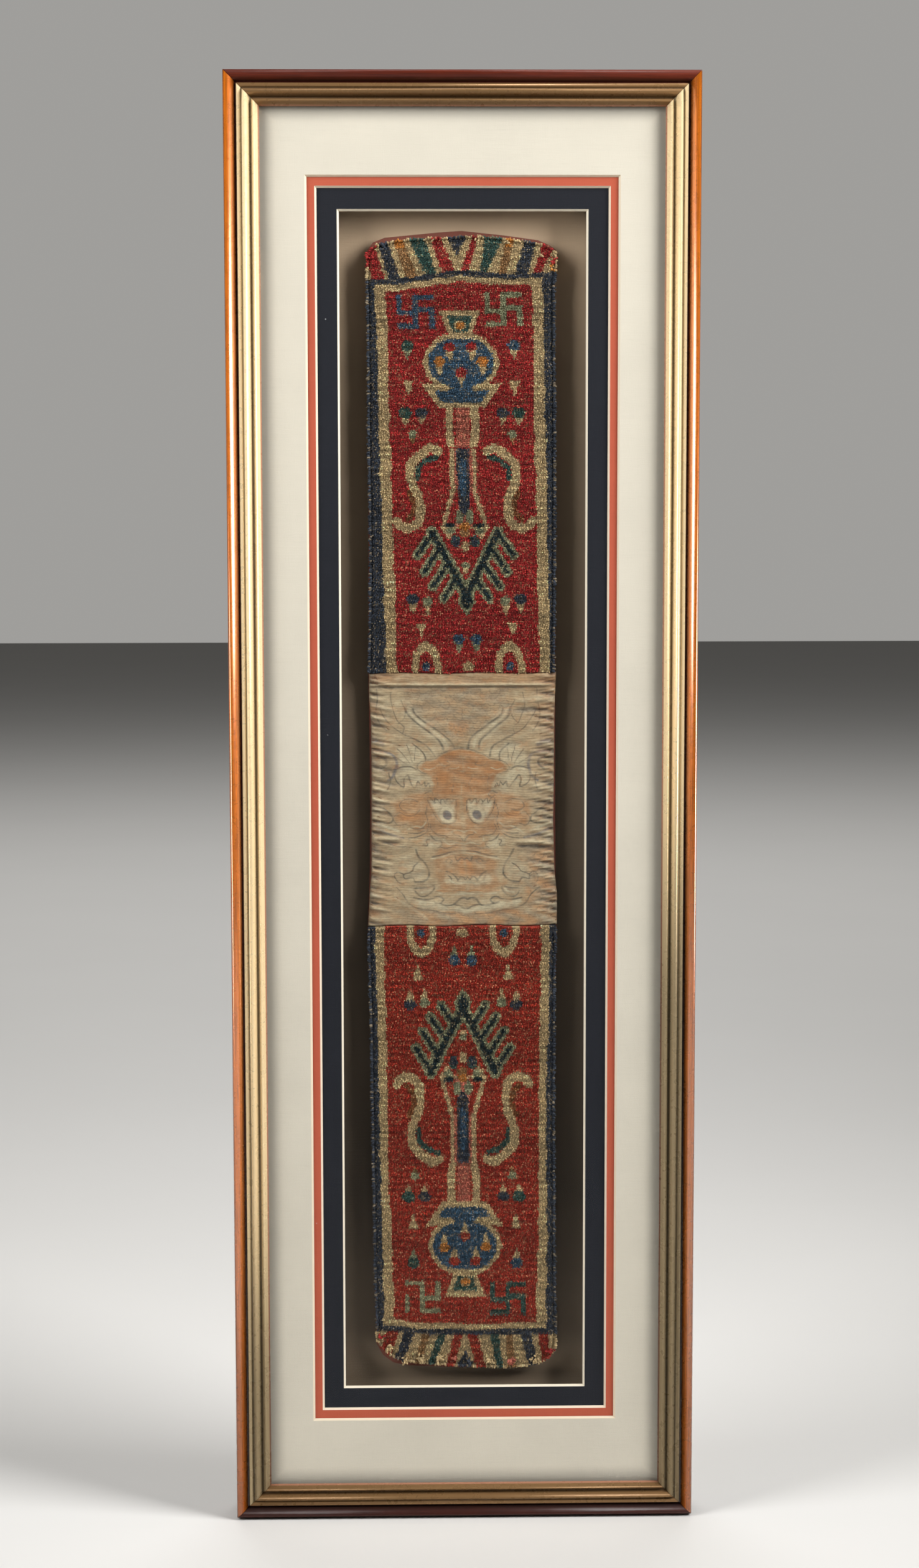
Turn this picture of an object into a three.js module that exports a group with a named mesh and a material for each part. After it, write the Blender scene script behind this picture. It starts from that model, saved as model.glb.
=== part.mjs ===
// A long wool pile strip with a silk brocade panel sewn across its middle, in a glazed picture frame
// with three window mats. Millimetres, Z up, facing -Y. The origin is the middle of the whole frame.
// A "height" below is a distance forward of the frame's back, which lies against the wall.
import * as THREE from 'three';

// Driving sizes of the frame
const FRAME_WIDTH = 362;
const FRAME_LENGTH = 1128;
const FIT_GAP = 0.3;
const MITRE_GAP = 0.3;
const ARC_STEPS = 7;

// The moulding: u runs inward from the rail's outer side, height forward from the back
const RABBET = { wall: 20, lip: 27.4, underside: 38.3 };
const BEAD = { centre: 4.5, radius: 4.5, height: 38.2 };
const QUIRK = { inner: 10.2, floor: 38.5 };
const FILLET = { outer: 10.5, inner: 12.7, height: 41.2 };
const DIP = { at: 13.9, height: 40.7 };
const RIDGE = { centre: 17.0, halfWidth: 2.2, shoulder: 0.8, foot: 41.7, crest: 43.6 };
const HOLLOW = { at: 20.9, height: 40.3 };
const LIP_BEAD = { centre: 23.6, radius: 0.9, height: 41.7 };
const SIGHT_LAND = 39.0;
const FRAME_DEPTH = RIDGE.crest;

// The layers behind the lip, from the glass back to the board that closes the frame
const PANE_INSET = RABBET.wall + FIT_GAP;
const PANE = { width: FRAME_WIDTH - 2 * PANE_INSET, length: FRAME_LENGTH - 2 * PANE_INSET };
const GLASS_THICKNESS = 2.2;
const MAT_THICKNESS = 1.5;
const GLASS_BACK = RABBET.underside - FIT_GAP - GLASS_THICKNESS;
const MATS = [
  { name: 'mat_cream', width: 238.3, length: 971.0, colour: 0xdcd6c4 },
  { name: 'mat_coral', width: 223.5, length: 954.8, colour: 0xc06a56 },
  { name: 'mat_navy', width: 189.8, length: 920.4, colour: 0x24272c },
];
const BACK_BOARD = { back: 3.7, thickness: 3 };
const SILK_BOARD = { back: BACK_BOARD.back + BACK_BOARD.thickness + FIT_GAP, thickness: 3 };
const SPACER_WALL = 12;

// The textile and the block that lifts it off the silk
const SILK_FRONT = SILK_BOARD.back + SILK_BOARD.thickness;
const BLOCK = { width: 118, length: 862, thickness: 4, middle: -2 };
const LINING_THICKNESS = 1.5;
const LINING_FRONT = SILK_FRONT + FIT_GAP + BLOCK.thickness + FIT_GAP + LINING_THICKNESS;
const PILE_THICKNESS = 6;
const PILE_EDGE = { round: 2.5, drop: 1.6 };
const PANEL = { thickness: 1.6, rise: 2.8, seat: 1.9, roll: 5, hemHeight: 9.5, hemRise: 0.8, ease: 0.8 };
const SEAMS = { upper: 107.4, lower: -91.9, gap: 0.45, wave: 0.5, waveLength: 61 };

// Edges of the textile at a few heights z, where left and right are x
const UPPER_STRIP_EDGES = [
  { z: 107, left: -73.4, right: 71.0 },
  { z: 147, left: -72.4, right: 71.1 },
  { z: 195, left: -71.8, right: 71.4 },
  { z: 243, left: -72.0, right: 71.4 },
  { z: 290, left: -72.7, right: 71.2 },
  { z: 385, left: -72.8, right: 70.5 },
  { z: 413, left: -73.4, right: 70.1 },
  { z: 431, left: -73.2, right: 71.8 },
];
const PANEL_EDGES = [
  { z: -92, left: -74.8, right: 73.6 },
  { z: -68, left: -73.5, right: 73.8 },
  { z: -48, left: -71.9, right: 71.5 },
  { z: -9, left: -71.7, right: 70.6 },
  { z: 30, left: -71.5, right: 71.1 },
  { z: 70, left: -71.8, right: 71.2 },
  { z: 89, left: -73.2, right: 71.8 },
  { z: 107, left: -73.0, right: 72.6 },
];
const LOWER_STRIP_EDGES = [
  { z: -430, left: -69.5, right: 73.6 },
  { z: -389, left: -70.7, right: 72.7 },
  { z: -348, left: -71.0, right: 72.2 },
  { z: -297, left: -71.7, right: 72.0 },
  { z: -247, left: -72.3, right: 71.5 },
  { z: -197, left: -72.6, right: 71.8 },
  { z: -147, left: -73.6, right: 71.8 },
  { z: -92, left: -74.8, right: 72.8 },
];
const LINING_EDGES = [
  { z: -432, left: -69.9, right: 73.0 },
  { z: -389, left: -70.9, right: 72.2 },
  { z: -197, left: -72.8, right: 71.4 },
  { z: -92, left: -75.4, right: 73.9 },
  { z: -48, left: -72.9, right: 72.4 },
  { z: 30, left: -72.5, right: 72.0 },
  { z: 89, left: -73.6, right: 72.2 },
  { z: 290, left: -72.6, right: 71.1 },
  { z: 413, left: -73.2, right: 70.2 },
  { z: 431, left: -73.7, right: 72.0 },
];

// The curved ends of the textile: z at a few places x
const UPPER_END = [
  { x: -73.5, z: 428.0 },
  { x: -70.5, z: 432.6 },
  { x: -66.8, z: 434.6 },
  { x: -49.5, z: 438.7 },
  { x: 0, z: 441.2 },
  { x: 21.7, z: 441.4 },
  { x: 56.3, z: 436.6 },
  { x: 64.4, z: 434.4 },
  { x: 71.9, z: 429.6 },
];
const UPPER_LINING_END = [
  { x: -73.7, z: 430.4 },
  { x: -68.8, z: 437.0 },
  { x: -61.7, z: 440.6 },
  { x: -19.0, z: 444.8 },
  { x: -0.7, z: 446.0 },
  { x: 31.9, z: 442.6 },
  { x: 62.4, z: 438.4 },
  { x: 72.1, z: 431.6 },
];
const LOWER_END = [
  { x: -69.8, z: -424.0 },
  { x: -66.5, z: -430.5 },
  { x: -61.9, z: -435.2 },
  { x: -52.9, z: -441.5 },
  { x: -33.8, z: -444.6 },
  { x: 0, z: -447.4 },
  { x: 37.4, z: -448.4 },
  { x: 57.6, z: -446.8 },
  { x: 68.2, z: -440.7 },
  { x: 73.6, z: -432.5 },
];
const LOWER_LINING_END = [
  { x: -70.3, z: -428.0 },
  { x: -66.0, z: -437.4 },
  { x: -60.4, z: -443.4 },
  { x: -51.9, z: -447.4 },
  { x: 0, z: -450.0 },
  { x: 61.8, z: -446.4 },
  { x: 73.0, z: -433.0 },
];

// Main folds of the panel: a soft ridge or trough along x between two ends, leaning by slope
const PANEL_FOLDS = [
  { z: 97.2, from: -58, to: 66, rise: 0.5, halfWidth: 1.6, slope: 0.012 },
  { z: 70, from: 20, to: 78, rise: 0.7, halfWidth: 6, slope: 0 },
  { z: 22, from: -80, to: -40, rise: -0.5, halfWidth: 5, slope: 0.08 },
  { z: 14, from: -80, to: -14, rise: 0.9, halfWidth: 2.6, slope: -0.04 },
  { z: 8, from: -80, to: -10, rise: -0.5, halfWidth: 2.4, slope: -0.04 },
  { z: 12, from: 30, to: 80, rise: 0.8, halfWidth: 3, slope: 0.03 },
  { z: -27, from: -80, to: -26, rise: 1.0, halfWidth: 4, slope: -0.05 },
  { z: -27, from: 26, to: 80, rise: 1.1, halfWidth: 4, slope: 0.07 },
  { z: -38, from: -80, to: -22, rise: -0.7, halfWidth: 4, slope: 0.03 },
  { z: -37, from: 36, to: 80, rise: -0.5, halfWidth: 3.4, slope: 0.05 },
  { z: -67, from: -24, to: 30, rise: -0.4, halfWidth: 2, slope: 0.01 },
  { z: -79, from: -80, to: -34, rise: 0.7, halfWidth: 5, slope: -0.1 },
  { z: -78, from: 40, to: 80, rise: 0.6, halfWidth: 4, slope: 0.15 },
];
const FOLD_EASE = 9;
const EDGE_CROWDING = 0.7;
// Tucks that the side stitches pull in: their spacing along each side, reach inward and depth
const TUCKS = [
  { side: -1, spacing: 8.6, reach: 13, depth: 0.45 },
  { side: 1, spacing: 7.4, reach: 16, depth: 0.5 },
];

const FINISHES = {
  moulding: { color: 0xb98a4a, roughness: 0.4, metalness: 0.4 },
  glass: { color: 0xf4f7f6, roughness: 0.05, metalness: 0, transparent: true, opacity: 0.2 },
  foam: { color: 0xe8e4d8, roughness: 0.9, metalness: 0 },
  silk: { color: 0x8c7a69, roughness: 0.8, metalness: 0 },
  board: { color: 0x6f5a43, roughness: 0.9, metalness: 0 },
  lining: { color: 0x7a4436, roughness: 0.95, metalness: 0 },
  pile: { color: 0xa0343a, roughness: 1, metalness: 0 },
  brocade: { color: 0xb49a78, roughness: 0.7, metalness: 0 },
};

const part = new THREE.Group();
part.position.y = FRAME_DEPTH / 2;

// A named mesh with a material of its own.
function piece(name, geometry, finish) {
  const mesh = new THREE.Mesh(geometry, new THREE.MeshStandardMaterial(finish));
  mesh.name = name;
  return mesh;
}

// The value of a table's column at a key, in straight steps between its rows.
function along(rows, key, at, column) {
  const last = rows.length - 1;
  const next = rows.findIndex((row) => row[key] >= at);
  if (next === 0) return rows[0][column];
  if (next < 0) return rows[last][column];
  const [a, b] = [rows[next - 1], rows[next]];
  return a[column] + ((b[column] - a[column]) * (at - a[key])) / (b[key] - a[key]);
}

const smooth = (t) => THREE.MathUtils.smoothstep(t, 0, 1);

// Section of the moulding, from the back's outer corner round by the rabbet, the lip and the bead
function mouldingSection() {
  const s = new THREE.Shape();
  s.moveTo(0, 0);
  s.lineTo(RABBET.wall, 0);
  s.lineTo(RABBET.wall, RABBET.underside);
  s.lineTo(RABBET.lip, RABBET.underside);
  s.lineTo(RABBET.lip, SIGHT_LAND);
  s.lineTo(LIP_BEAD.centre + LIP_BEAD.radius, LIP_BEAD.height);
  s.absarc(LIP_BEAD.centre, LIP_BEAD.height, LIP_BEAD.radius, 0, Math.PI, false);
  s.quadraticCurveTo(HOLLOW.at + 0.9, HOLLOW.height, HOLLOW.at, HOLLOW.height);
  s.quadraticCurveTo(HOLLOW.at - 1.2, HOLLOW.height, RIDGE.centre + RIDGE.halfWidth, RIDGE.foot);
  const [ridgeIn, ridgeOut] = [RIDGE.centre + RIDGE.halfWidth, RIDGE.centre - RIDGE.halfWidth];
  s.quadraticCurveTo(ridgeIn - RIDGE.shoulder, RIDGE.crest, RIDGE.centre, RIDGE.crest);
  s.quadraticCurveTo(ridgeOut + RIDGE.shoulder, RIDGE.crest, ridgeOut, RIDGE.foot);
  s.lineTo(DIP.at, DIP.height);
  s.lineTo(FILLET.inner, FILLET.height);
  s.lineTo(FILLET.outer, FILLET.height);
  s.lineTo(QUIRK.inner, QUIRK.floor);
  s.lineTo(BEAD.centre + BEAD.radius, QUIRK.floor - 0.1);
  s.absarc(BEAD.centre, BEAD.height, BEAD.radius, 0, Math.PI, false);
  s.lineTo(0, 0);
  return s;
}

// One rail, drawn as the bottom one: its section swept along X and cut to a mitre at both ends.
function rail(name, length, reach) {
  const sweep = { depth: 1, bevelEnabled: false, curveSegments: ARC_STEPS };
  const g = new THREE.ExtrudeGeometry(mouldingSection(), sweep);
  const p = g.getAttribute('position');
  const trim = MITRE_GAP / Math.SQRT2;
  for (let i = 0; i < p.count; i++) {
    const [u, height, end] = [p.getX(i), p.getY(i), p.getZ(i) - 0.5];
    p.setXYZ(i, 2 * end * (length / 2 - u - trim), -height, u - reach);
  }
  return piece(name, g, FINISHES.moulding);
}

function addFrame() {
  const rails = [
    { name: 'rail_bottom', length: FRAME_WIDTH, reach: FRAME_LENGTH / 2, turn: 0 },
    { name: 'rail_left', length: FRAME_LENGTH, reach: FRAME_WIDTH / 2, turn: 1 },
    { name: 'rail_top', length: FRAME_WIDTH, reach: FRAME_LENGTH / 2, turn: 2 },
    { name: 'rail_right', length: FRAME_LENGTH, reach: FRAME_WIDTH / 2, turn: 3 },
  ];
  for (const { name, length, reach, turn } of rails) {
    const side = new THREE.Group();
    side.rotation.y = (turn * Math.PI) / 2;
    side.add(rail(name, length, reach));
    part.add(side);
  }
}

// A flat sheet of the pane's size, between two heights.
function addSheet(name, back, thickness, finish, width = PANE.width, length = PANE.length, middle = 0) {
  const sheet = piece(name, new THREE.BoxGeometry(width, thickness, length), finish);
  sheet.position.set(0, -(back + thickness / 2), middle);
  part.add(sheet);
}

// A flat ring: the pane's outline with a window, whose sides may slope outwards to the front.
function addRing(name, back, thickness, window, slope, finish) {
  const outline = new THREE.Shape();
  const [w, l] = [PANE.width / 2, PANE.length / 2];
  outline.moveTo(-w, -l).lineTo(w, -l).lineTo(w, l).lineTo(-w, l);
  const [a, b] = [window.width / 2, window.length / 2];
  outline.holes.push(new THREE.Path().moveTo(-a, -b).lineTo(-a, b).lineTo(a, b).lineTo(a, -b));
  const g = new THREE.ExtrudeGeometry(outline, { depth: thickness, bevelEnabled: false });
  const p = g.getAttribute('position');
  for (let i = 0; i < p.count; i++) {
    const [x, y, z] = [p.getX(i), p.getY(i), p.getZ(i)];
    const onWindow = Math.abs(x) < w - 1;
    const spread = onWindow ? slope * (z / thickness - 0.5) : 0;
    p.setXYZ(i, x + Math.sign(x) * spread, y + Math.sign(y) * spread, z);
  }
  const ring = piece(name, g, finish);
  ring.rotation.x = Math.PI / 2;
  ring.position.y = -back;
  part.add(ring);
}

function addMats() {
  let front = GLASS_BACK - FIT_GAP;
  for (const { name, width, length, colour } of MATS) {
    const finish = { color: colour, roughness: 0.85, metalness: 0 };
    addRing(name, front - MAT_THICKNESS, MAT_THICKNESS, { width, length }, MAT_THICKNESS, finish);
    front -= MAT_THICKNESS + FIT_GAP;
  }
  const back = SILK_FRONT + FIT_GAP;
  const window = { width: PANE.width - 2 * SPACER_WALL, length: PANE.length - 2 * SPACER_WALL };
  addRing('box_spacer', back, front - back, window, 0, FINISHES.foam);
}

// Steps from 0 to 1 that lie closer together near both ends.
const crowded = (t) => THREE.MathUtils.lerp(t, 0.5 - 0.5 * Math.cos(Math.PI * t), EDGE_CROWDING);

// A closed sheet: place(u, v, isFront) gives x, height and z of each point of its two faces.
function addCloth(name, acrossSteps, alongSteps, place, finish) {
  const g = new THREE.BoxGeometry(1, 1, 1, acrossSteps, 1, alongSteps);
  const p = g.getAttribute('position');
  for (let i = 0; i < p.count; i++) {
    const { x, height, z } = place(crowded(p.getX(i) + 0.5), p.getZ(i) + 0.5, p.getY(i) < 0);
    p.setXYZ(i, x, -height, z);
  }
  part.add(piece(name, g, finish));
}

// The seam line between pile and panel wanders a little.
const seam = (z, x) => z + SEAMS.wave * Math.sin((2 * Math.PI * x) / SEAMS.waveLength);

// A point of a cloth that runs from a lower line to an upper line, with side edges from a table.
function spread(edges, lower, upper, u, v) {
  const middle = THREE.MathUtils.lerp(lower(0), upper(0), v);
  const x = THREE.MathUtils.lerp(along(edges, 'z', middle, 'left'), along(edges, 'z', middle, 'right'), u);
  return { x, z: THREE.MathUtils.lerp(lower(x), upper(x), v) };
}

// The pile's face: gently uneven, and rounded down along its edges.
function addStrip(name, edges, lower, upper) {
  const place = (u, v, isFront) => {
    const { x, z } = spread(edges, lower, upper, u, v);
    if (!isFront) return { x, height: LINING_FRONT + FIT_GAP, z };
    const width = along(edges, 'z', z, 'right') - along(edges, 'z', z, 'left');
    const inset = Math.min(u, 1 - u) * width;
    const endInset = Math.min(z - lower(x), upper(x) - z);
    const edge = smooth(Math.min(inset, endInset) / PILE_EDGE.round);
    const uneven = 0.35 * Math.sin(x / 17 + z / 31) * Math.cos(z / 23 - x / 40);
    const height = LINING_FRONT + FIT_GAP + PILE_THICKNESS + uneven - PILE_EDGE.drop * (1 - edge);
    return { x, height, z };
  };
  addCloth(name, 14, 26, place, FINISHES.pile);
}

// How far the panel's folds and side tucks lift it at a point.
function panelRelief(x, z, left, right) {
  let rise = 0;
  for (const f of PANEL_FOLDS) {
    const off = (z - f.z - f.slope * x) / f.halfWidth;
    const reach = smooth((x - f.from) / FOLD_EASE) * smooth((f.to - x) / FOLD_EASE);
    rise += f.rise * Math.exp(-off * off) * reach;
  }
  for (const t of TUCKS) {
    const inset = t.side < 0 ? x - left : right - x;
    const pull = Math.max(0, 1 - inset / t.reach);
    rise += t.depth * pull * Math.sin((2 * Math.PI * z) / t.spacing + 0.8 * Math.sin(z / 11));
  }
  return rise;
}

function addPanel() {
  const lower = (x) => seam(SEAMS.lower, x) + SEAMS.gap;
  const upper = (x) => seam(SEAMS.upper, x) - SEAMS.gap;
  const place = (u, v, isFront) => {
    const { x, z } = spread(PANEL_EDGES, lower, upper, u, v);
    const [left, right] = [along(PANEL_EDGES, 'z', z, 'left'), along(PANEL_EDGES, 'z', z, 'right')];
    const inset = Math.min(x - left, right - x);
    const flat = smooth(inset / PANEL.roll);
    const hem = PANEL.hemRise * smooth((z - upper(x) + PANEL.hemHeight) / PANEL.ease);
    const lift = Math.max(PANEL.rise + hem + panelRelief(x, z, left, right), PANEL.seat);
    const height = LINING_FRONT + PANEL.seat + (lift - PANEL.seat) * (0.15 + 0.85 * flat);
    return { x, height: isFront ? height : height - PANEL.thickness, z };
  };
  addCloth('brocade_panel', 22, 48, place, FINISHES.brocade);
}

function addTextile() {
  const block = SILK_FRONT + FIT_GAP;
  addSheet('textile_block', block, BLOCK.thickness, FINISHES.foam, BLOCK.width, BLOCK.length, BLOCK.middle);
  const upperEnd = (x) => along(UPPER_END, 'x', x, 'z');
  const lowerEnd = (x) => along(LOWER_END, 'x', x, 'z');
  const upperLining = (x) => along(UPPER_LINING_END, 'x', x, 'z');
  const lowerLining = (x) => along(LOWER_LINING_END, 'x', x, 'z');
  const lining = (u, v, isFront) => {
    const { x, z } = spread(LINING_EDGES, lowerLining, upperLining, u, v);
    return { x, height: isFront ? LINING_FRONT : LINING_FRONT - LINING_THICKNESS, z };
  };
  addCloth('lining_cloth', 12, 18, lining, FINISHES.lining);
  addStrip('pile_strip_upper', UPPER_STRIP_EDGES, (x) => seam(SEAMS.upper, x), upperEnd);
  addStrip('pile_strip_lower', LOWER_STRIP_EDGES, lowerEnd, (x) => seam(SEAMS.lower, x));
  addPanel();
}

addFrame();
addSheet('glazing', GLASS_BACK, GLASS_THICKNESS, FINISHES.glass);
addMats();
addSheet('silk_backing', SILK_BOARD.back, SILK_BOARD.thickness, FINISHES.silk);
addSheet('back_board', BACK_BOARD.back, BACK_BOARD.thickness, FINISHES.board);
addTextile();

export default part;
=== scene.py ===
"""A silk brocade panel sewn over a long wool pile strip, in a glazed frame with three window mats."""

import math

import bmesh
import bpy
import numpy as np
from bpy.props import FloatProperty, FloatVectorProperty, PointerProperty
from mathutils import Matrix, Vector
from mathutils.bvhtree import BVHTree


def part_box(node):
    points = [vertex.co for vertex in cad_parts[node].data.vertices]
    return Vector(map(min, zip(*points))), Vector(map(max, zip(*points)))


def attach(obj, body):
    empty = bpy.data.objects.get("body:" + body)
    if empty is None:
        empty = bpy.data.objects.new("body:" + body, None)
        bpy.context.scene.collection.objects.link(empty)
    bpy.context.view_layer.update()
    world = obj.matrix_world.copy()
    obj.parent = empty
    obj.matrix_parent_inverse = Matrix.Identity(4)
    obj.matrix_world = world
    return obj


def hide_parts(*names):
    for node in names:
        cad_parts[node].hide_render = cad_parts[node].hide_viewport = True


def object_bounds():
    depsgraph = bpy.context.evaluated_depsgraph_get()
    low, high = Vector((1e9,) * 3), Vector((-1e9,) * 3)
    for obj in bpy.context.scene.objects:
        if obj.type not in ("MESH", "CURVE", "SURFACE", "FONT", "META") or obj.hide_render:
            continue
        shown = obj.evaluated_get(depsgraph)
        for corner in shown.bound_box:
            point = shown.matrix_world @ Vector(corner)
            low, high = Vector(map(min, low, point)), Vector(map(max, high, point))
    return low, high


bl_info = {
    "name": "Framed brocade panel",
    "version": (1, 0, 0),
    "blender": (4, 5, 0),
    "location": "View3D > Sidebar > Brocade panel",
    "description": "Finishes a framed wool pile strip with a silk brocade panel across its middle",
    "category": "Object",
}

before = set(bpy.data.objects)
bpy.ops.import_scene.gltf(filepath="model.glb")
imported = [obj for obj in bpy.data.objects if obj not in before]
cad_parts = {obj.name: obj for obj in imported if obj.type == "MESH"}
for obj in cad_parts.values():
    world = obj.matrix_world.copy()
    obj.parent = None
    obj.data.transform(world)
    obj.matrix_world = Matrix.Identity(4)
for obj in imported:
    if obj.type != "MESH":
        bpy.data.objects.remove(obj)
CAD_BOX = [list(corner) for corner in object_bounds()]

MM = 0.001
SEED = 7
BODY = "root"

# The frame is centred on the origin, so this corner is half its size
FRAME_HALF = Vector(CAD_BOX[1])
MOULDING_WIDTH = 27.4 * MM
# The moulding is finished as a side, not as a face, behind this depth
FRONT_OF_SIDE = FRAME_HALF.y - 36 * MM
# Half widths and half lengths of the mats' windows in millimetres, at the middle of their bevels
WINDOWS = {"cream": (119.15, 485.5), "coral": (111.75, 477.4), "navy": (94.9, 460.2)}
BEVEL_REACH = 0.78 * MM

# The camera that frames the object as the photo does, and its right, up and back
CAMERA_PLACE = (-0.04863, -2.17148, 0.25745)
CAMERA_AXES = (
    (0.99977349, -0.02123016, -0.00149891),
    (0.00379177, 0.10837587, 0.99410276),
    (-0.02094251, -0.99388327, 0.10843182),
)

# Where the pile strips meet the panel, in millimetres above the middle
SEAMS = {"upper": 107.4, "lower": -91.9}

# Rows of the lower strip, counted from its seam, and the rows of the upper one that show the same
LOWER_ROWS = (0, 25, 48, 95, 190, 279, 323, 356)
UPPER_ROWS = (0, 25, 43.5, 90, 175, 260, 302.7, 334)

# How each strip's design leans from the middle: rows from the seam, and its centre line there
CENTRE_LINES = {
    "upper": (
        (0, 22, 66, 109, 152, 195, 238, 280, 334),
        (4.3, 3.6, 2.6, 1.6, 0.4, -0.5, -1.2, -2.4, -4.6),
    ),
    "lower": ((28, 72, 117, 162, 207, 253, 298), (-0.5, -0.2, -0.5, -0.4, 0, 1, 1.1)),
}
# Inner and outer edges of the cream side border, from the centre line, at some rows
BORDERS = {
    "upper": ((0, 80, 300), (55.3, 55.4, 55.9), (64, 64, 64.4)),
    "lower": ((27, 110, 190, 235, 280), (61.4, 59.9, 59.2, 58, 56.7), (68.7, 66.3, 65.9, 65.5, 64.9)),
}
# The navy bar below the striped end: places across and its row there
BARS = {
    "upper": ((-73, -50, -3, 35, 70), (300, 300.2, 307, 304, 305.5)),
    "lower": ((-73, -55, -30, 10, 70), (303, 303.4, 306, 307, 306)),
}
STRIPES_END = 334
# Stripes of the two ends from the middle outwards: colour, then their outer edge at the bar and at
# the end, on the left and on the right
STRIPES = {
    "upper": (
        ("navy", -6.1, 7.6, -6.1, 7.5),
        ("cream", 2.1, 12.9, 2.1, 12.1),
        ("red", 11.9, 20.6, 8.3, 16.3),
        ("cream", 17.1, 24.3, 16.7, 22),
        ("teal", 24.9, 37.3, 21.9, 36.1),
        ("cream", 31.1, 41.9, 30.7, 38.5),
        ("tan", 40, 49.2, 36.9, 44.4),
        ("cream", 44.1, 54.4, 43.7, 52.7),
        ("navy", 53.5, 61.4, 53.6, 62.1),
        ("cream", 56.1, 64.9, 57.7, 68.3),
        ("red", 66, 74, 63.9, 79),
    ),
    "lower": (
        ("navy", -6, 6.8, -6, 6.8),
        ("cream", 1.8, 8.6, 1.9, 8.6),
        ("red", 9.1, 15.6, 9.7, 16.6),
        ("cream", 15.3, 25, 20, 24.9),
        ("teal", 21.5, 31.2, 26.3, 30.2),
        ("cream", 27.8, 36.4, 32.5, 34.2),
        ("tan", 34, 40.6, 37.7, 40.5),
        ("cream", 40.3, 51.8, 44, 50.9),
        ("navy", 48.5, 58.5, 52.3, 59.2),
        ("cream", 52.7, 62.5, 58.5, 62),
        ("red", 62.5, 72, 65.8, 69),
    ),
}

# Loose ends on each strip: place across, row, colour, length in millimetres and how many
LOOSE_ENDS = {
    "upper": (
        (-25, 330, "cream", 8, 3),
        (58, 322, "cream", 8, 3),
        (70, 316, "red", 5, 16),
        (-70, 318, "red", 4, 8),
        (69, 309, "orange", 4, 5),
        (-60, 325, "navy", 4, 6),
        (12, 331, "cream", 4, 5),
        (33, 329, "cream", 4, 5),
    ),
    "lower": (
        (-59.5, 340, "cream", 6, 20),
        (-47, 350, "cream", 7, 20),
        (-35, 349, "cream", 6, 18),
        (-20, 348, "cream", 6, 18),
        (-8, 349, "pink", 4, 10),
        (20.5, 350, "cream", 6, 18),
        (38, 351, "pink", 6, 18),
        (57, 350, "cream", 6, 18),
        (69, 343, "red", 6, 12),
        (5, 352, "navy", 4, 8),
        (-66, 330, "red", 5, 10),
    ),
}

HUES = ("red", "navy", "blue", "teal", "mint", "cream", "tan", "orange", "pink", "rust", "dark")

UPPER_CROSS_LEFT, UPPER_CROSS_RIGHT = (-33.8, 277.5), (33.8, 279)
LOWER_CROSS_LEFT, LOWER_CROSS_RIGHT = (-34, 278.5), (34, 280)


def linear(red, green, blue):
    """A screen colour of 0 to 255 a channel as the renderer's own values."""
    values = (red / 255, green / 255, blue / 255)
    return tuple(v / 12.92 if v <= 0.04045 else ((v + 0.055) / 1.055) ** 2.4 for v in values)


def colour(name, about, *screen):
    """A colour property whose default is a screen colour."""
    return FloatVectorProperty(
        name=name, description=about, default=linear(*screen), subtype="COLOR", min=0.0, max=1.0
    )


def length(name, about, millimetres):
    """A length property whose default is in millimetres."""
    return FloatProperty(name=name, description=about, default=millimetres * MM, min=0.0, unit="LENGTH")


def number(name, about, value):
    """A plain property that is never below zero."""
    return FloatProperty(name=name, description=about, default=value, min=0.0)


class MouldingSettings(bpy.types.PropertyGroup):
    wood: colour("Cherry", "Lacquered outer bead of the upright rails", 244, 128, 20)
    # The level rails' bead is a darker copy of the upright rails' cherry: painted shade
    painted_shade_cherry: colour("Dark cherry", "Outer bead of the level rails, which is stained darker", 106, 34, 8)
    edge: colour("Edge wood", "Stained sides and back of the moulding", 92, 44, 20)
    groove: colour("Groove", "Dark groove between bead and gilding", 70, 26, 20)
    gold: colour("Gold", "Leaf on the ridge, fillet and lip", 255, 226, 176)
    bole: colour("Bole", "Red clay under the leaf", 112, 64, 38)
    # The level rails' leaf is a darker copy of the gold: painted shade
    dull: colour("Dull gold", "Tarnished leaf on the level rails", 136, 104, 68)
    slope: colour("Slope", "Salmon wash on the slope next to the glass", 168, 118, 92)
    grain: length("Grain spacing", "Distance between streaks of the wood's grain", 0.9)
    speck: length("Speck size", "Size of the worn specks in the leaf", 1.1)


class MatSettings(bpy.types.PropertyGroup):
    cream: colour("Cream silk", "Silk on the outer mat", 218, 211, 194)
    cream_core: colour("Cream bevel", "Cut core of the outer mat", 238, 224, 198)
    coral: colour("Coral", "Paper face of the middle mat", 192, 94, 70)
    coral_core: colour("Coral bevel", "Cut core of the middle mat", 244, 226, 202)
    navy: colour("Navy", "Paper face of the inner mat", 34, 36, 42)
    navy_core: colour("Navy bevel", "Cut core of the inner mat", 244, 234, 212)
    silk: colour("Backing silk", "Taupe silk behind the textile", 236, 206, 170)
    foam: colour("Foam board", "Taupe faced spacers behind the mats", 112, 100, 84)
    board: colour("Back board", "Hardboard that closes the back", 120, 92, 64)


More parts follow.
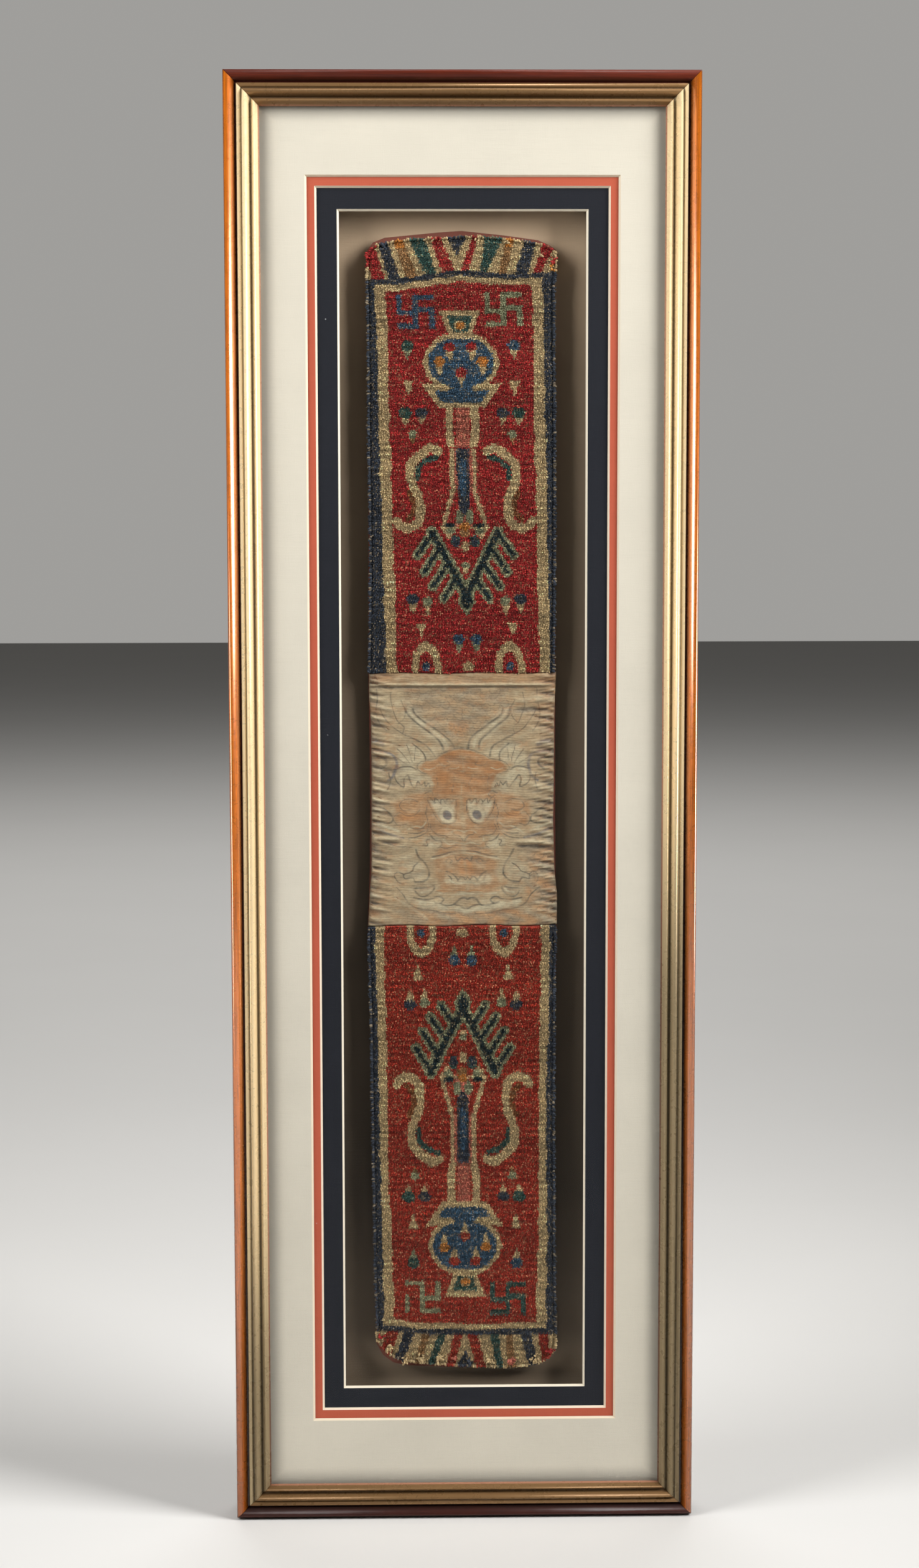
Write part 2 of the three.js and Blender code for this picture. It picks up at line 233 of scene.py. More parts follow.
class PileSettings(bpy.types.PropertyGroup):
    spacing: length("Yarn spacing", "Distance between neighbouring cut yarn ends", 1.3)
    tuft: length("Tuft height", "How far a cut end stands above the packed pile", 2.4)
    sink: length("Ground depth", "How far the packed pile lies below the tips", 1.5)
    red: colour("Crimson", "Madder field of the upper strip", 168, 48, 46)
    red_lower: colour("Orange red", "Madder field of the lower strip", 168, 58, 42)
    navy: colour("Navy", "Dark indigo", 61, 67, 77)
    blue: colour("Blue", "Middle indigo", 66, 94, 116)
    teal: colour("Teal", "Green over indigo", 62, 92, 84)
    mint: colour("Mint", "Pale grey green", 152, 154, 120)
    cream: colour("Cream", "Undyed wool, aged", 206, 180, 134)
    tan: colour("Tan", "Light brown", 158, 118, 76)
    orange: colour("Orange", "Warm orange yellow", 204, 132, 60)
    pink: colour("Pink", "Pale madder", 196, 112, 92)
    rust: colour("Rust", "Dark brown orange", 138, 86, 50)
    dark: colour("Dark teal", "Nearly black green blue", 34, 50, 54)
    lining: colour("Lining", "Red brown wool cloth behind the textile", 128, 74, 60)


class BrocadeSettings(bpy.types.PropertyGroup):
    silk: colour("Silk ground", "Faded tan silk", 176, 152, 116)
    pale: colour("Pale silk", "Bleached green white parts of the figure", 204, 194, 162)
    rust: colour("Rust silk", "Orange brown face", 172, 112, 60)
    orange: colour("Orange", "Stronger orange patches", 202, 132, 70)
    grey: colour("Grey violet", "Faded scales", 130, 114, 98)
    line: colour("Outline", "Grey blue outlines", 54, 60, 60)
    eye: colour("Pupil", "Blue grey of the pupils", 92, 96, 104)
    wrinkle: length("Fine creases", "Height of the small creases", 0.5)
    thread: colour("Sewing thread", "Thread over the edges of the panel", 132, 98, 72)
    stitch: length("Stitch thread", "Thickness of the sewing thread", 0.55)
    stitch_step: length("Stitch spacing", "Distance between stitches along an edge", 4.6)


class StageSettings(bpy.types.PropertyGroup):
    floor: colour("Floor", "Pale studio floor", 226, 224, 220)
    left: number("Left light", "Power of the light on the left", 11.5)
    right: number("Right light", "Power of the light on the right", 20.0)
    behind: number("Back light", "Power of the light behind", 90.0)
    sky: number("Room", "Brightness in front of the frame", 0.05)
    backdrop: number("Backdrop", "Brightness behind the frame", 0.46)
    lens: number("Lens", "Focal length for the long side", 64.286)


# Node helpers


def put_node(tree, kind, settings=None, **sockets):
    """A new node whose inputs are given by name, or by i0, i1 and so on; a socket there is linked."""
    node = tree.nodes.new("ShaderNode" + kind)
    for key, value in (settings or {}).items():
        setattr(node, key, value)
    for key, value in sockets.items():
        is_index = key[0] == "i" and key[1:].isdigit()
        socket = node.inputs[int(key[1:])] if is_index else node.inputs[key.replace("_", " ")]
        if isinstance(value, bpy.types.NodeSocket):
            tree.links.new(value, socket)
        else:
            socket.default_value = value
    return node


def calc(tree, operation, first, second=0.0, clamp=False):
    """The result of one Math node."""
    settings = {"operation": operation, "use_clamp": clamp}
    return put_node(tree, "Math", settings, i0=first, i1=second).outputs[0]


def times(tree, first, second):
    """Two values multiplied."""
    return calc(tree, "MULTIPLY", first, second)


def rest_of(tree, value):
    """What a value leaves of one."""
    return calc(tree, "SUBTRACT", 1, value)


def axes_of(tree, vector):
    """The x, y and z of a place."""
    return put_node(tree, "SeparateXYZ", None, Vector=vector).outputs


def mix(tree, factor, first, second, blend="MIX"):
    """Two colours mixed."""
    settings = {"data_type": "RGBA", "blend_type": blend}
    pair = {"i6": opaque(first), "i7": opaque(second)}
    return put_node(tree, "Mix", settings, i0=factor, **pair).outputs[2]


def tinted(tree, base, tint):
    """A colour multiplied by a colour or by a value."""
    return mix(tree, 1.0, base, tint, "MULTIPLY")


def opaque(shade):
    """A colour with its alpha, or the socket as it is."""
    if isinstance(shade, bpy.types.NodeSocket):
        return shade
    return (*tuple(shade)[:3], 1.0)


def noise(tree, vector, scale, detail=3.0, rough=0.55):
    """The value of a noise texture."""
    node = put_node(tree, "TexNoise", None, Vector=vector, Scale=scale, Detail=detail, Roughness=rough)
    return node.outputs[0]


def remap(tree, value, low, high, first=0.0, last=1.0):
    """A value moved smoothly from one range to another, and held at its ends."""
    settings = {"interpolation_type": "SMOOTHSTEP"}
    ends = {"i1": low, "i2": high, "i3": first, "i4": last}
    return put_node(tree, "MapRange", settings, i0=value, **ends).outputs[0]


def stretched(tree, vector, *scale):
    """Coordinates scaled by a different amount along each axis."""
    return put_node(tree, "Mapping", None, Vector=vector, Scale=scale).outputs[0]


def ramp(tree, value, stops):
    """The colour of a ramp whose stops are (place, colour)."""
    node = put_node(tree, "ValToRGB", None, Fac=value)
    elements = node.color_ramp.elements
    while len(elements) < len(stops):
        elements.new(0.5)
    for element, (place, shade) in zip(elements, stops):
        element.position = place
        element.color = opaque(shade)
    return node.outputs[0]


def grey(value):
    return (value, value, value)


def material(name, **plain):
    """A new material, its node tree and its main shader, with that shader's plain values."""
    made = bpy.data.materials.new(name)
    made.use_nodes = True
    shader = made.node_tree.nodes["Principled BSDF"]
    for key, value in plain.items():
        shader.inputs[key.replace("_", " ")].default_value = value
    return made, made.node_tree, shader


def feed(tree, shader, **sockets):
    """Links results to a shader's inputs; Height goes through a Bump node of the given Depth."""
    height = sockets.pop("Height", None)
    depth = sockets.pop("Depth", 0.1 * MM)
    if height is not None:
        bump = put_node(tree, "Bump", None, Height=height, Distance=depth)
        tree.links.new(bump.outputs[0], shader.inputs["Normal"])
    for key, value in sockets.items():
        tree.links.new(value, shader.inputs[key.replace("_", " ")])


def own_coordinates(tree):
    return put_node(tree, "TexCoord").outputs["Object"]


def new_group(name, inputs, outputs):
    """A shader node group with named sockets, its inputs' sockets and its output node."""
    tree = bpy.data.node_groups.new(name, "ShaderNodeTree")
    kinds = {"value": "NodeSocketFloat", "colour": "NodeSocketColor", "vector": "NodeSocketVector"}
    for label, kind, default in inputs:
        socket = tree.interface.new_socket(label, in_out="INPUT", socket_type=kinds[kind])
        if default is not None:
            socket.default_value = default
    for label, kind in outputs:
        tree.interface.new_socket(label, in_out="OUTPUT", socket_type=kinds[kind])
    return tree, tree.nodes.new("NodeGroupInput").outputs, tree.nodes.new("NodeGroupOutput").inputs


def group_tree(name):
    """The named group, built the first time it is asked for."""
    return bpy.data.node_groups.get(name) or GROUPS[name](name)


def use_group(tree, name, **sockets):
    """The outputs of a group placed in a material with its own values."""
    return put_node(tree, "Group", {"node_tree": group_tree(name)}, **sockets).outputs


def build_window(name):
    """How far a place lies outside a rectangle round the middle, and which side pair is nearer."""
    inputs = [("Vector", "vector", None), ("Half Width", "value", 0.1), ("Half Length", "value", 0.1)]
    tree, given, out = new_group(name, inputs, [("Distance", "value"), ("Upright", "value")])
    x, _, z = axes_of(tree, given["Vector"])
    across = calc(tree, "SUBTRACT", calc(tree, "ABSOLUTE", x), given["Half Width"])
    along = calc(tree, "SUBTRACT", calc(tree, "ABSOLUTE", z), given["Half Length"])
    tree.links.new(calc(tree, "MAXIMUM", across, along), out["Distance"])
    tree.links.new(calc(tree, "GREATER_THAN", across, along), out["Upright"])
    return tree


def build_threads(name):
    """Fine uneven threads both ways, as a height and as light and dark."""
    inputs = [("Vector", "vector", None), ("Threads", "value", 2500.0), ("Slub", "value", 0.5)]
    tree, given, out = new_group(name, inputs, [("Height", "value"), ("Shade", "value")])
    spread = {"i0": given["Vector"], "Scale": given["Threads"]}
    place = put_node(tree, "VectorMath", {"operation": "SCALE"}, **spread).outputs[0]
    weft = noise(tree, stretched(tree, place, 0.06, 1.0, 1.0), 1.0, 2.0)
    warp = noise(tree, stretched(tree, place, 1.0, 1.0, 0.06), 1.0, 2.0)
    long_slub = noise(tree, stretched(tree, place, 0.012, 0.3, 0.35), 1.0, 2.0)
    both = calc(tree, "ADD", weft, warp)
    slub = times(tree, long_slub, given["Slub"])
    height = calc(tree, "ADD", both, slub)
    tree.links.new(height, out["Height"])
    tree.links.new(remap(tree, height, 0.7, 1.5), out["Shade"])
    return tree


def build_dust(name):
    """A few tiny specks, each at its own place."""
    inputs = [("Vector", "vector", None), ("Spacing", "value", 60.0), ("Size", "value", 0.05)]
    tree, given, out = new_group(name, inputs, [("Mask", "value")])
    cells = put_node(tree, "TexVoronoi", None, Vector=given["Vector"], Scale=given["Spacing"])
    near = calc(tree, "LESS_THAN", cells.outputs["Distance"], given["Size"])
    rare = calc(tree, "GREATER_THAN", noise(tree, given["Vector"], 90.0), 0.56)
    tree.links.new(times(tree, near, rare), out["Mask"])
    return tree


def build_mottle(name):
    """Slow cloudy light and dark round 1, to multiply a colour by."""
    inputs = [("Vector", "vector", None), ("Scale", "value", 20.0), ("Amount", "value", 0.1)]
    tree, given, out = new_group(name, inputs, [("Shade", "colour")])
    cloud = calc(tree, "SUBTRACT", noise(tree, given["Vector"], given["Scale"], 4.0), 0.5)
    shade = calc(tree, "MULTIPLY_ADD", cloud, given["Amount"])
    shade.node.inputs[2].default_value = 1.0
    tree.links.new(shade, out["Shade"])
    return tree


GROUPS = {"Window": build_window, "Threads": build_threads, "Dust": build_dust, "Mottle": build_mottle}

# Finishes


def moulding_finish(look):
    """Lacquered bead, dark groove, worn leaf with a red clay ground, and stained sides."""
    made, tree, shader = material(
        "Gilt and cherry moulding", Coat_Roughness=0.22, Coat_IOR=2.3, Specular_IOR_Level=0.25
    )
    place = own_coordinates(tree)
    window = use_group(tree, "Window", Vector=place, Half_Width=FRAME_HALF.x, Half_Length=FRAME_HALF.z)
    upright = window["Upright"]
    inward = times(tree, window["Distance"], -1.0 / MOULDING_WIDTH)
    along = {"i4": stretched(tree, place, GRAIN_RUN, 1, 1), "i5": stretched(tree, place, 1, 1, GRAIN_RUN)}
    grain_place = put_node(tree, "Mix", {"data_type": "VECTOR"}, i0=upright, **along).outputs[1]
    grain = noise(tree, grain_place, 1.0 / look.grain, 4.0)
    metal = ramp(tree, inward, across_moulding((u, grey(v)) for u, v in LEAF_STOPS))
    wood = ramp(tree, inward, across_moulding((u, grey(v)) for u, v in WOOD_STOPS))
    side = calc(tree, "GREATER_THAN", axes_of(tree, place)[1], FRONT_OF_SIDE)
    front = rest_of(tree, side)
    base = rail_colours(tree, look, place, inward, upright, wood)
    rubbed = rubbed_leaf(tree, look, place, grain_place, metal)
    streaked = tinted(tree, base, remap(tree, grain, 0.35, 0.7, 1.0, 0.6))
    face = mix(tree, wood, mix(tree, rubbed, base, look.bole), streaked)
    side_grain = mix(tree, remap(tree, grain, 0.3, 0.75), look.edge, scaled(look.edge, 0.5))
    polish = times(tree, wood, remap(tree, upright, 0, 1, *POLISH))
    leaf = calc(tree, "ADD", calc(tree, "SUBTRACT", metal, rubbed, True), polish)
    cloud = remap(tree, noise(tree, place, 140.0, 4.0), 0.3, 0.7, 0.24, 0.36)
    dry_wood = times(tree, wood, remap(tree, upright, 0, 1, DRY, 0))
    matt = calc(tree, "ADD", dry_wood, times(tree, rubbed, DRY))
    feed(
        tree,
        shader,
        Base_Color=mix(tree, side, face, side_grain),
        Metallic=times(tree, leaf, front),
        Roughness=calc(tree, "ADD", cloud, matt),
        Coat_Weight=times(tree, polish, times(tree, front, 2)),
        Height=grain,
        Depth=0.008 * MM,
    )
    return made


def rail_colours(tree, look, place, inward, upright, wood):
    """Wood and leaf across the rails: the level ones darker and all darker towards the foot, both as
    painted shade.
    """
    bright = ramp(tree, inward, across_moulding(moulding_stops(look, look.wood, look.gold)))
    level_shaded = ramp(tree, inward, across_moulding(moulding_stops(look, look.painted_shade_cherry, look.dull)))
    x, _, z = axes_of(tree, place)
    # Painted shade: each upright rail darkens towards the foot
    left, right = (remap(tree, z, low, high, kept, 1.0) for low, high, kept in RAIL_FOOT_SHADE)
    foot_shaded = mix(tree, calc(tree, "GREATER_THAN", x, 0.0), left, right)
    bright = tinted(tree, bright, mix(tree, times(tree, wood, WOOD_KEEPS), foot_shaded, grey(1)))
    # Painted shade: the level rails' wood darkens towards the foot
    stain = times(tree, wood, remap(tree, z, *LEVEL_FOOT_SHADE))
    level_shaded = tinted(tree, level_shaded, rest_of(tree, stain))
    return mix(tree, upright, level_shaded, bright)


def rubbed_leaf(tree, look, place, grain_place, metal):
    """Where the leaf is rubbed through to the clay: specks, and streaks along the rail."""
    specks = remap(tree, noise(tree, place, 1.0 / look.speck, 5.0, 0.7), 0.64, 0.76)
    streaks = remap(tree, noise(tree, grain_place, 380.0, 3.0), 0.5, 0.75)
    rubbed = calc(tree, "MAXIMUM", specks, times(tree, streaks, 0.5))
    gilt = calc(tree, "GREATER_THAN", metal, LEAST_LEAF)
    return times(tree, times(tree, rubbed, gilt), RUB)


# How much leaf and how much lacquered wood there is, at millimetres inward from the outer side
LEAF_STOPS = (
    (0, 0), (9.9, 0), (10.1, 0.3), (13.2, 0.3), (13.9, 0.2), (14.7, 0.3), (20, 0.3), (20.9, 0.2),
    (22, 0.3), (26.3, 0.3), (26.6, 0.1), (27.4, 0.1),
)
WOOD_STOPS = ((0, 1), (9, 1), (9.3, 0), (27.4, 0))
# Less leaf than this is only a wash, which shows no clay, and the most that is rubbed off the rest
LEAST_LEAF, RUB = 0.15, 0.2
# How far the grain is drawn out along a rail, and the wood's polish on level and upright rails
GRAIN_RUN, POLISH = 0.03, (0.04, 0.45)
# Heights in metres between which the left and the right rail darken towards the foot as painted shade,
# and what is kept
RAIL_FOOT_SHADE = ((-0.48, -0.26, 0.42), (-0.16, 0.05, 0.36))
# The wood's share that isn't darkened towards the foot, the painted shade on level wood between two
# heights, and the roughness that level wood and rubbed leaf have over the rest
WOOD_KEEPS, LEVEL_FOOT_SHADE, DRY = 0.6, (-0.4, 0.0, 0.7, 0.0), 0.3


def scaled(shade, amount):
    """A colour with its brightness scaled."""
    return tuple(v * amount for v in shade)


def across_moulding(stops):
    """Stops in millimetres inward from the outer side as parts of the moulding's width."""
    return [(inward * MM / MOULDING_WIDTH, shade) for inward, shade in stops]


def moulding_stops(look, wood, gold):
    """Colours across the moulding, in millimetres inward from its outer side."""
    return (
        (0, scaled(wood, 0.4)),
        (1.2, wood),
        (5.6, wood),
        (8.4, scaled(wood, 0.3)),
        (9.3, look.groove),
        (9.9, look.groove),
        (10.1, gold),
        (13.0, gold),
        (13.9, scaled(gold, 0.3)),
        (14.9, gold),
        (19.2, gold),
        (20.6, scaled(gold, 0.25)),
        (21.6, scaled(gold, 0.35)),
        (22.4, gold),
        (26.2, gold),
        (26.6, look.slope),
        (27.4, look.slope),
    )


# How far a painted shadow of the moulding darkens the mats beside it, and what is kept right at its edge
MAT_SHADOW_REACH, MAT_SHADOW_KEEPS = 13 * MM, 0.62


def mat_finish(name, face, core, half_width, half_length, covered):
    """A mat's face, of silk or of paper, and the bare core of its bevel."""
    rough, gloss = (0.75, 0.5) if covered else (0.9, 0.2)
    made, tree, shader = material(name, Roughness=rough, Specular_IOR_Level=gloss)
    place = own_coordinates(tree)
    window = use_group(tree, "Window", Vector=place, Half_Width=half_width, Half_Length=half_length)
    bevel = calc(tree, "LESS_THAN", window["Distance"], BEVEL_REACH)
    threads = use_group(tree, "Threads", Vector=place, Threads=2600.0 if covered else 1500.0, Slub=0.8)
    mottle = use_group(tree, "Mottle", Vector=place, Scale=14.0, Amount=0.16)
    shade = mix(tree, threads["Shade"], scaled(face, 0.94), face)
    dust = use_group(tree, "Dust", Vector=place, Spacing=70.0, Size=0.035)
    shade = mix(tree, times(tree, dust["Mask"], 0.5), shade, grey(0.6))
    shade = mix(tree, bevel, tinted(tree, shade, mottle["Shade"]), core)
    # A painted shadow of the moulding on the mat beside it
    sight = {"Half_Width": FRAME_HALF.x - MOULDING_WIDTH, "Half_Length": FRAME_HALF.z - MOULDING_WIDTH}
    beside = use_group(tree, "Window", Vector=place, **sight)["Distance"]
    shade = tinted(tree, shade, remap(tree, beside, -MAT_SHADOW_REACH, 0.0, 1.0, MAT_SHADOW_KEEPS))
    feed(tree, shader, Base_Color=shade, Height=threads["Height"], Depth=0.05 * MM)
    return made


def plain_finish(name, shade, threads, slub, roughness, depth, contrast=0.8):
    """A cloth or board of one colour, with threads or fibres and slow clouding."""
    made, tree, shader = material(name, Roughness=roughness)
    place = own_coordinates(tree)
    weave = use_group(tree, "Threads", Vector=place, Threads=threads, Slub=slub)
    mottle = use_group(tree, "Mottle", Vector=place, Scale=18.0, Amount=0.25)
    base = mix(tree, weave["Shade"], scaled(shade, contrast), shade)
    feed(
        tree,
        shader,
        Base_Color=tinted(tree, base, mottle["Shade"]),
        Height=weave["Height"],
        Depth=depth,
    )
    return made


def backing_finish(look):
    """Taupe silk, darkened by painted shade down the narrow gaps beside the textile."""
    made, tree, shader = material("Taupe silk", Roughness=0.7)
    place = own_coordinates(tree)
    weave = use_group(tree, "Threads", Vector=place, Threads=2600.0, Slub=1.6)
    mottle = use_group(tree, "Mottle", Vector=place, Scale=18.0, Amount=0.25)
    rise = calc(tree, "ADD", axes_of(tree, place)[2], 0.5)
    painted_shade = ramp(tree, rise, [(z * MM + 0.5, grey(kept)) for z, kept in SILK_SHADE])
    base = mix(tree, weave["Shade"], scaled(look.silk, 0.8), look.silk)
    # The silk darkened by painted shade with height
    aged = tinted(tree, tinted(tree, base, mottle["Shade"]), painted_shade)
    feed(tree, shader, Base_Color=aged, Height=weave["Height"], Depth=0.06 * MM)
    return made


# Heights on the backing in millimetres, and how much of the silk's colour the painted shade leaves there
SILK_SHADE = ((-455, 0.4), (-420, 0.19), (-310, 0.09), (0, 0.21), (340, 0.5), (430, 0.85), (455, 1.0))


def pane_finish():
    """Clear thin glass: a faint mirror over a see-through sheet."""
    made, tree, shader = material("Picture glass")
    tree.nodes.remove(shader)
    out = tree.nodes["Material Output"]
    edge = put_node(tree, "Fresnel", None, IOR=1.2)
    clear = put_node(tree, "BsdfTransparent")
    mirror = put_node(tree, "BsdfGlossy", None, Roughness=0.02, Color=opaque(grey(0.6)))
    behind = put_node(tree, "NewGeometry").outputs["Backfacing"]
    shine = times(tree, edge.outputs[0], rest_of(tree, behind))
    pane = put_node(tree, "MixShader", None, Fac=shine, i1=clear.outputs[0], i2=mirror.outputs[0])
    tree.links.new(pane.outputs[0], out.inputs["Surface"])
    return made


def wool_finish(name, attribute):
    """Dull wool whose colour is painted on the yarn, with fibres light and dark along it."""
    made, tree, shader = material(name, Roughness=0.85, Specular_IOR_Level=0.25)
    place = own_coordinates(tree)
    painted = put_node(tree, "Attribute", {"attribute_name": attribute}).outputs["Color"]
    fibres = noise(tree, place, 1500.0, 3.0, 0.7)
    light = remap(tree, fibres, 0.25, 0.75, 0.72, 1.22)
    feed(tree, shader, Base_Color=tinted(tree, painted, light), Height=fibres, Depth=0.25 * MM)
    return made


def brocade_finish(look):
    """Faded silk whose broad colours are painted on the cloth, with fine wefts and a soft shine."""
    made, tree, shader = material("Faded silk brocade", Sheen_Weight=0.15, Sheen_Roughness=0.4)
    place = own_coordinates(tree)
    painted = put_node(tree, "Attribute", {"attribute_name": "silk"}).outputs["Color"]
    threads = use_group(tree, "Threads", Vector=place, Threads=2200.0, Slub=1.2)
    mottle = use_group(tree, "Mottle", Vector=place, Scale=60.0, Amount=0.3)
    shade = mix(tree, remap(tree, threads["Shade"], 0, 1, 0.0, 0.35), painted, scaled(look.silk, 0.62))
    shade = tinted(tree, shade, mottle["Shade"])
    weft = noise(tree, stretched(tree, place, 0.3, 1.0, 1.0), 900.0, 4.0, 0.7)
    shade = tinted(tree, shade, remap(tree, weft, 0.32, 0.68, 0.74, 1.1))
    fade = noise(tree, stretched(tree, place, 0.6, 1.0, 1.0), 190.0, 4.0, 0.65)
    shade = mix(tree, remap(tree, fade, 0.5, 0.7, 0, 0.24), shade, look.pale)
    shade = mix(tree, remap(tree, fade, 0.3, 0.48, 0.26, 0), shade, look.rust)
    rough = remap(tree, threads["Height"], 0.7, 1.6, 0.7, 0.5)
    feed(tree, shader, Base_Color=shade, Roughness=rough, Height=threads["Height"], Depth=0.09 * MM)
    return made


# Drawing on cloth: shapes in millimetres, as masks over arrays of places


def within(x, z, corners):
    """True at the places inside a polygon."""
    inside = np.zeros(x.shape, bool)
    for (xa, za), (xb, zb) in zip(corners, [*corners[1:], corners[0]]):
        crosses = (za > z) != (zb > z)
        reach = xa + (z - za) * (xb - xa) / ((zb - za) or 1e-9)
        inside ^= crosses & (x < reach)
    return inside


def off_line(x, z, points):
    """How far each place lies from a line through points."""
    best = np.full(x.shape, np.inf)
    for (xa, za), (xb, zb) in zip(points, points[1:]):
        dx, dz = xb - xa, zb - za
        t = np.clip(((x - xa) * dx + (z - za) * dz) / (dx * dx + dz * dz), 0, 1)
        best = np.minimum(best, np.hypot(x - xa - t * dx, z - za - t * dz))
    return best


def rising(value, start, run):
    """0 up to a start, then rising to 1 over a run; the other way round where the run is negative."""
    return np.clip((value - start) / run, 0, 1)


def ridge(value, middle, width):
    """A soft ridge of height 1 round a middle."""
    return np.exp(-(((value - middle) / width) ** 2))


class Chart:
    """Yarn colours at places x from the centre line and s rows from the seam, painted in turn."""

    def __init__(self, x, s):
        self.x, self.s, self.off = x, s, np.abs(x)
        self.hue = np.zeros(x.shape, int)

    def fill(self, mask, hue, side=0):
        if side:
            mask = mask & (self.x * side > 0)
        self.hue[mask] = HUES.index(hue)

    def shape(self, hue, *corners):
        self.fill(within(self.off, self.s, corners), hue)

    def oval(self, hue, off, row, half_width, half_height, side=0):
        inside = np.hypot((self.off - off) / half_width, (self.s - row) / half_height) < 1
        self.fill(inside, hue, side)

    def ribbon(self, hue, width, *points):
        self.fill(off_line(self.off, self.s, points) < width / 2, hue)

    def drop(self, hue, off, head, tip, tail="cream", half=4.9, side=0):
        """A round bulb with a pointed tail towards the seam."""
        corners = [(off - 0.9 * half, head - 1.2), (off + 0.9 * half, head - 1.2), (off, tip - 5.5)]
        self.fill(within(self.off, self.s, corners), tail, side)
        self.oval(hue, off, head, half, 0.84 * half, side)

    def heart(self, off, head, tip, hue="cream"):
        """A small wedge, point towards the seam."""
        self.shape(hue, (off - 4, head + 3), (off + 4, head + 3), (off + 2.4, head - 2), (off, tip - 5))
        self.shape(hue, (off - 4, head + 3), (off, tip - 5), (off - 2.4, head - 2))

    def cross(self, hue, centre, up, turn, broken=False):
        """A cross whose four ends hook the same way round."""
        x, s = (self.x - centre[0]) * turn, (self.s - centre[1]) * up
        bar, reach, rise = 2.1, 14.4, 13
        self.fill((abs(x) < bar) & (abs(s) < rise), hue)
        self.fill((abs(s + 1) < bar) & (x < 0) & (x > -reach), hue)
        if not broken:
            self.fill((abs(s - 1.5) < bar) & (x > 0) & (x < reach), hue)
        self.fill((s > rise - 4) & (s < rise) & (x > 0) & (x < reach), hue)
        self.fill((s < 4 - rise) & (s > -rise) & (x < 0) & (x > -reach), hue)
        self.fill((x < 4 - reach) & (x > -reach) & (s > 0) & (s < rise), hue)
        self.fill((x > reach - 4) & (x < reach) & (s < 2) & (s > -rise), hue)


def draw_fern(chart):
    """A branching dark leaf that points at the seam, inside a pale outline."""
    fingers = [((8.5, 72), (17.5, 58)), ((14.5, 84), (26, 67)), ((20.5, 96), (32, 78.5)),
               ((25.4, 108), (37.2, 91.5))]
    arm = ((1, 62), (25.4, 109))
    chart.ribbon("mint", 9.6, *arm)
    for finger in fingers:
        chart.ribbon("mint", 8, *finger)
    chart.shape("mint", (-1, 42.5), (6.8, 54.5), (5.6, 64), (-1, 70))
    chart.ribbon("dark", 4.6, *arm)
    for finger in fingers:
        chart.ribbon("dark", 3.2, *finger)
    chart.shape("dark", (-1, 47.5), (4.5, 55), (3.2, 64), (-1, 66))
    chart.oval("mint", 0, 70, 2.2, 2.4)
    chart.oval("mint", 0, 83, 3.4, 3.2)
    chart.oval("cream", 0, 79.5, 2.2, 2.2)


def draw_column(chart):
    """A flower on a funnel of petals, and the stem below it."""
    chart.shape("cream", (-1, 174), (10, 174), (10, 142), (18.8, 112), (-1, 112))
    chart.shape("pink", (-1, 174), (6.7, 174), (6.7, 141), (14.8, 113.5), (-1, 113.5))
    chart.shape("red", (4, 140), (6.4, 140), (14.4, 114), (6, 114))
    chart.shape("navy", (-1, 174), (4.5, 174), (4.5, 128), (-1, 120))
    chart.oval("blue", 0, 150, 3, 16)
    chart.oval("mint", 4.4, 120.5, 3, 5.5)
    chart.oval("teal", 7.4, 102, 3.7, 4.8)
    chart.oval("navy", 7.4, 101.5, 2.6, 3.6)
    chart.oval("cream", 0, 98, 3, 4.2)
    chart.shape("cream", (6, 112), (18.5, 112), (12.5, 103.5))
    chart.oval("mint", 11, 110, 3.6, 2.6)
    chart.oval("dark", 11.5, 114, 4.4, 1.7)
    chart.oval("tan", 0, 108.5, 4, 3.4)
    chart.oval("orange", 0, 113, 3.7, 3.2)
    chart.shape("cream", (-1, 205), (12.4, 205), (13.2, 192), (11.6, 174.5), (-1, 174.5))
    chart.shape("pink", (-1, 205), (5.6, 205), (6.4, 192), (5.4, 174.5), (-1, 174.5))
    chart.shape("red", (5.2, 204), (6.4, 204), (7, 192), (6, 176), (5, 176))


def draw_ribbons(chart):
    """A cream scroll each side of the column, with a green and a brown inner curve."""
    chart.ribbon(
        "cream", 7, (18.5, 171.5), (25, 174), (33.5, 168), (40, 161.5), (41.3, 153.5), (39, 144.5),
        (35, 137), (33.8, 128), (34.6, 119), (38, 114), (44, 112), (49.5, 114), (52.3, 117.5),
    )
    chart.ribbon("teal", 4, (19.5, 166.8), (28, 164.5), (35, 158.5), (35.2, 150.5))
    chart.ribbon("rust", 4, (42.2, 139.5), (38.4, 131.5), (39.6, 124), (44.3, 118.8))


def draw_vase(chart):
    """A footed vase with drops on its body and a flared mouth."""
    body = ((-1, 260.5), (12, 260.5), (19.5, 256.5), (27.3, 247), (29.5, 238), (26.5, 228), (18.5, 220),
            (11, 217.5), (-1, 217.5))
    inner = ((-1, 257), (11, 257), (17.5, 253.6), (24, 245.5), (25.8, 238), (23, 230), (16, 223.5),
             (9.5, 221), (-1, 216))
    chart.shape("cream", (-1, 204.5), (17.8, 204.5), (31.5, 223.8), (22, 222.5), (-1, 221.5))
    chart.shape("cream", *body)
    chart.shape("blue", (-1, 208.5), (14.8, 208.5), (21.5, 217.2), (10.5, 217), (-1, 226))
    chart.shape("blue", *inner)
    chart.drop("rust", 8.6, 250, 244, "cream", 4.4)
    chart.drop("red", 8.6, 250.8, 244, "cream", 4.2)
    chart.drop("orange", 16.6, 239.8, 233, "cream", 4.4)
    chart.drop("red", 0, 231.5, 225, "cream", 4.4)
    chart.shape("cream", (-1, 278.5), (16.2, 278.5), (8.8, 259.5), (-1, 259.5))
    chart.shape("teal", (-1, 274), (9.8, 274), (6, 262.5), (-1, 262.5))
    chart.oval("cream", 0, 267, 4.6, 3.8)
    chart.oval("orange", 0, 267, 3.6, 2.9)


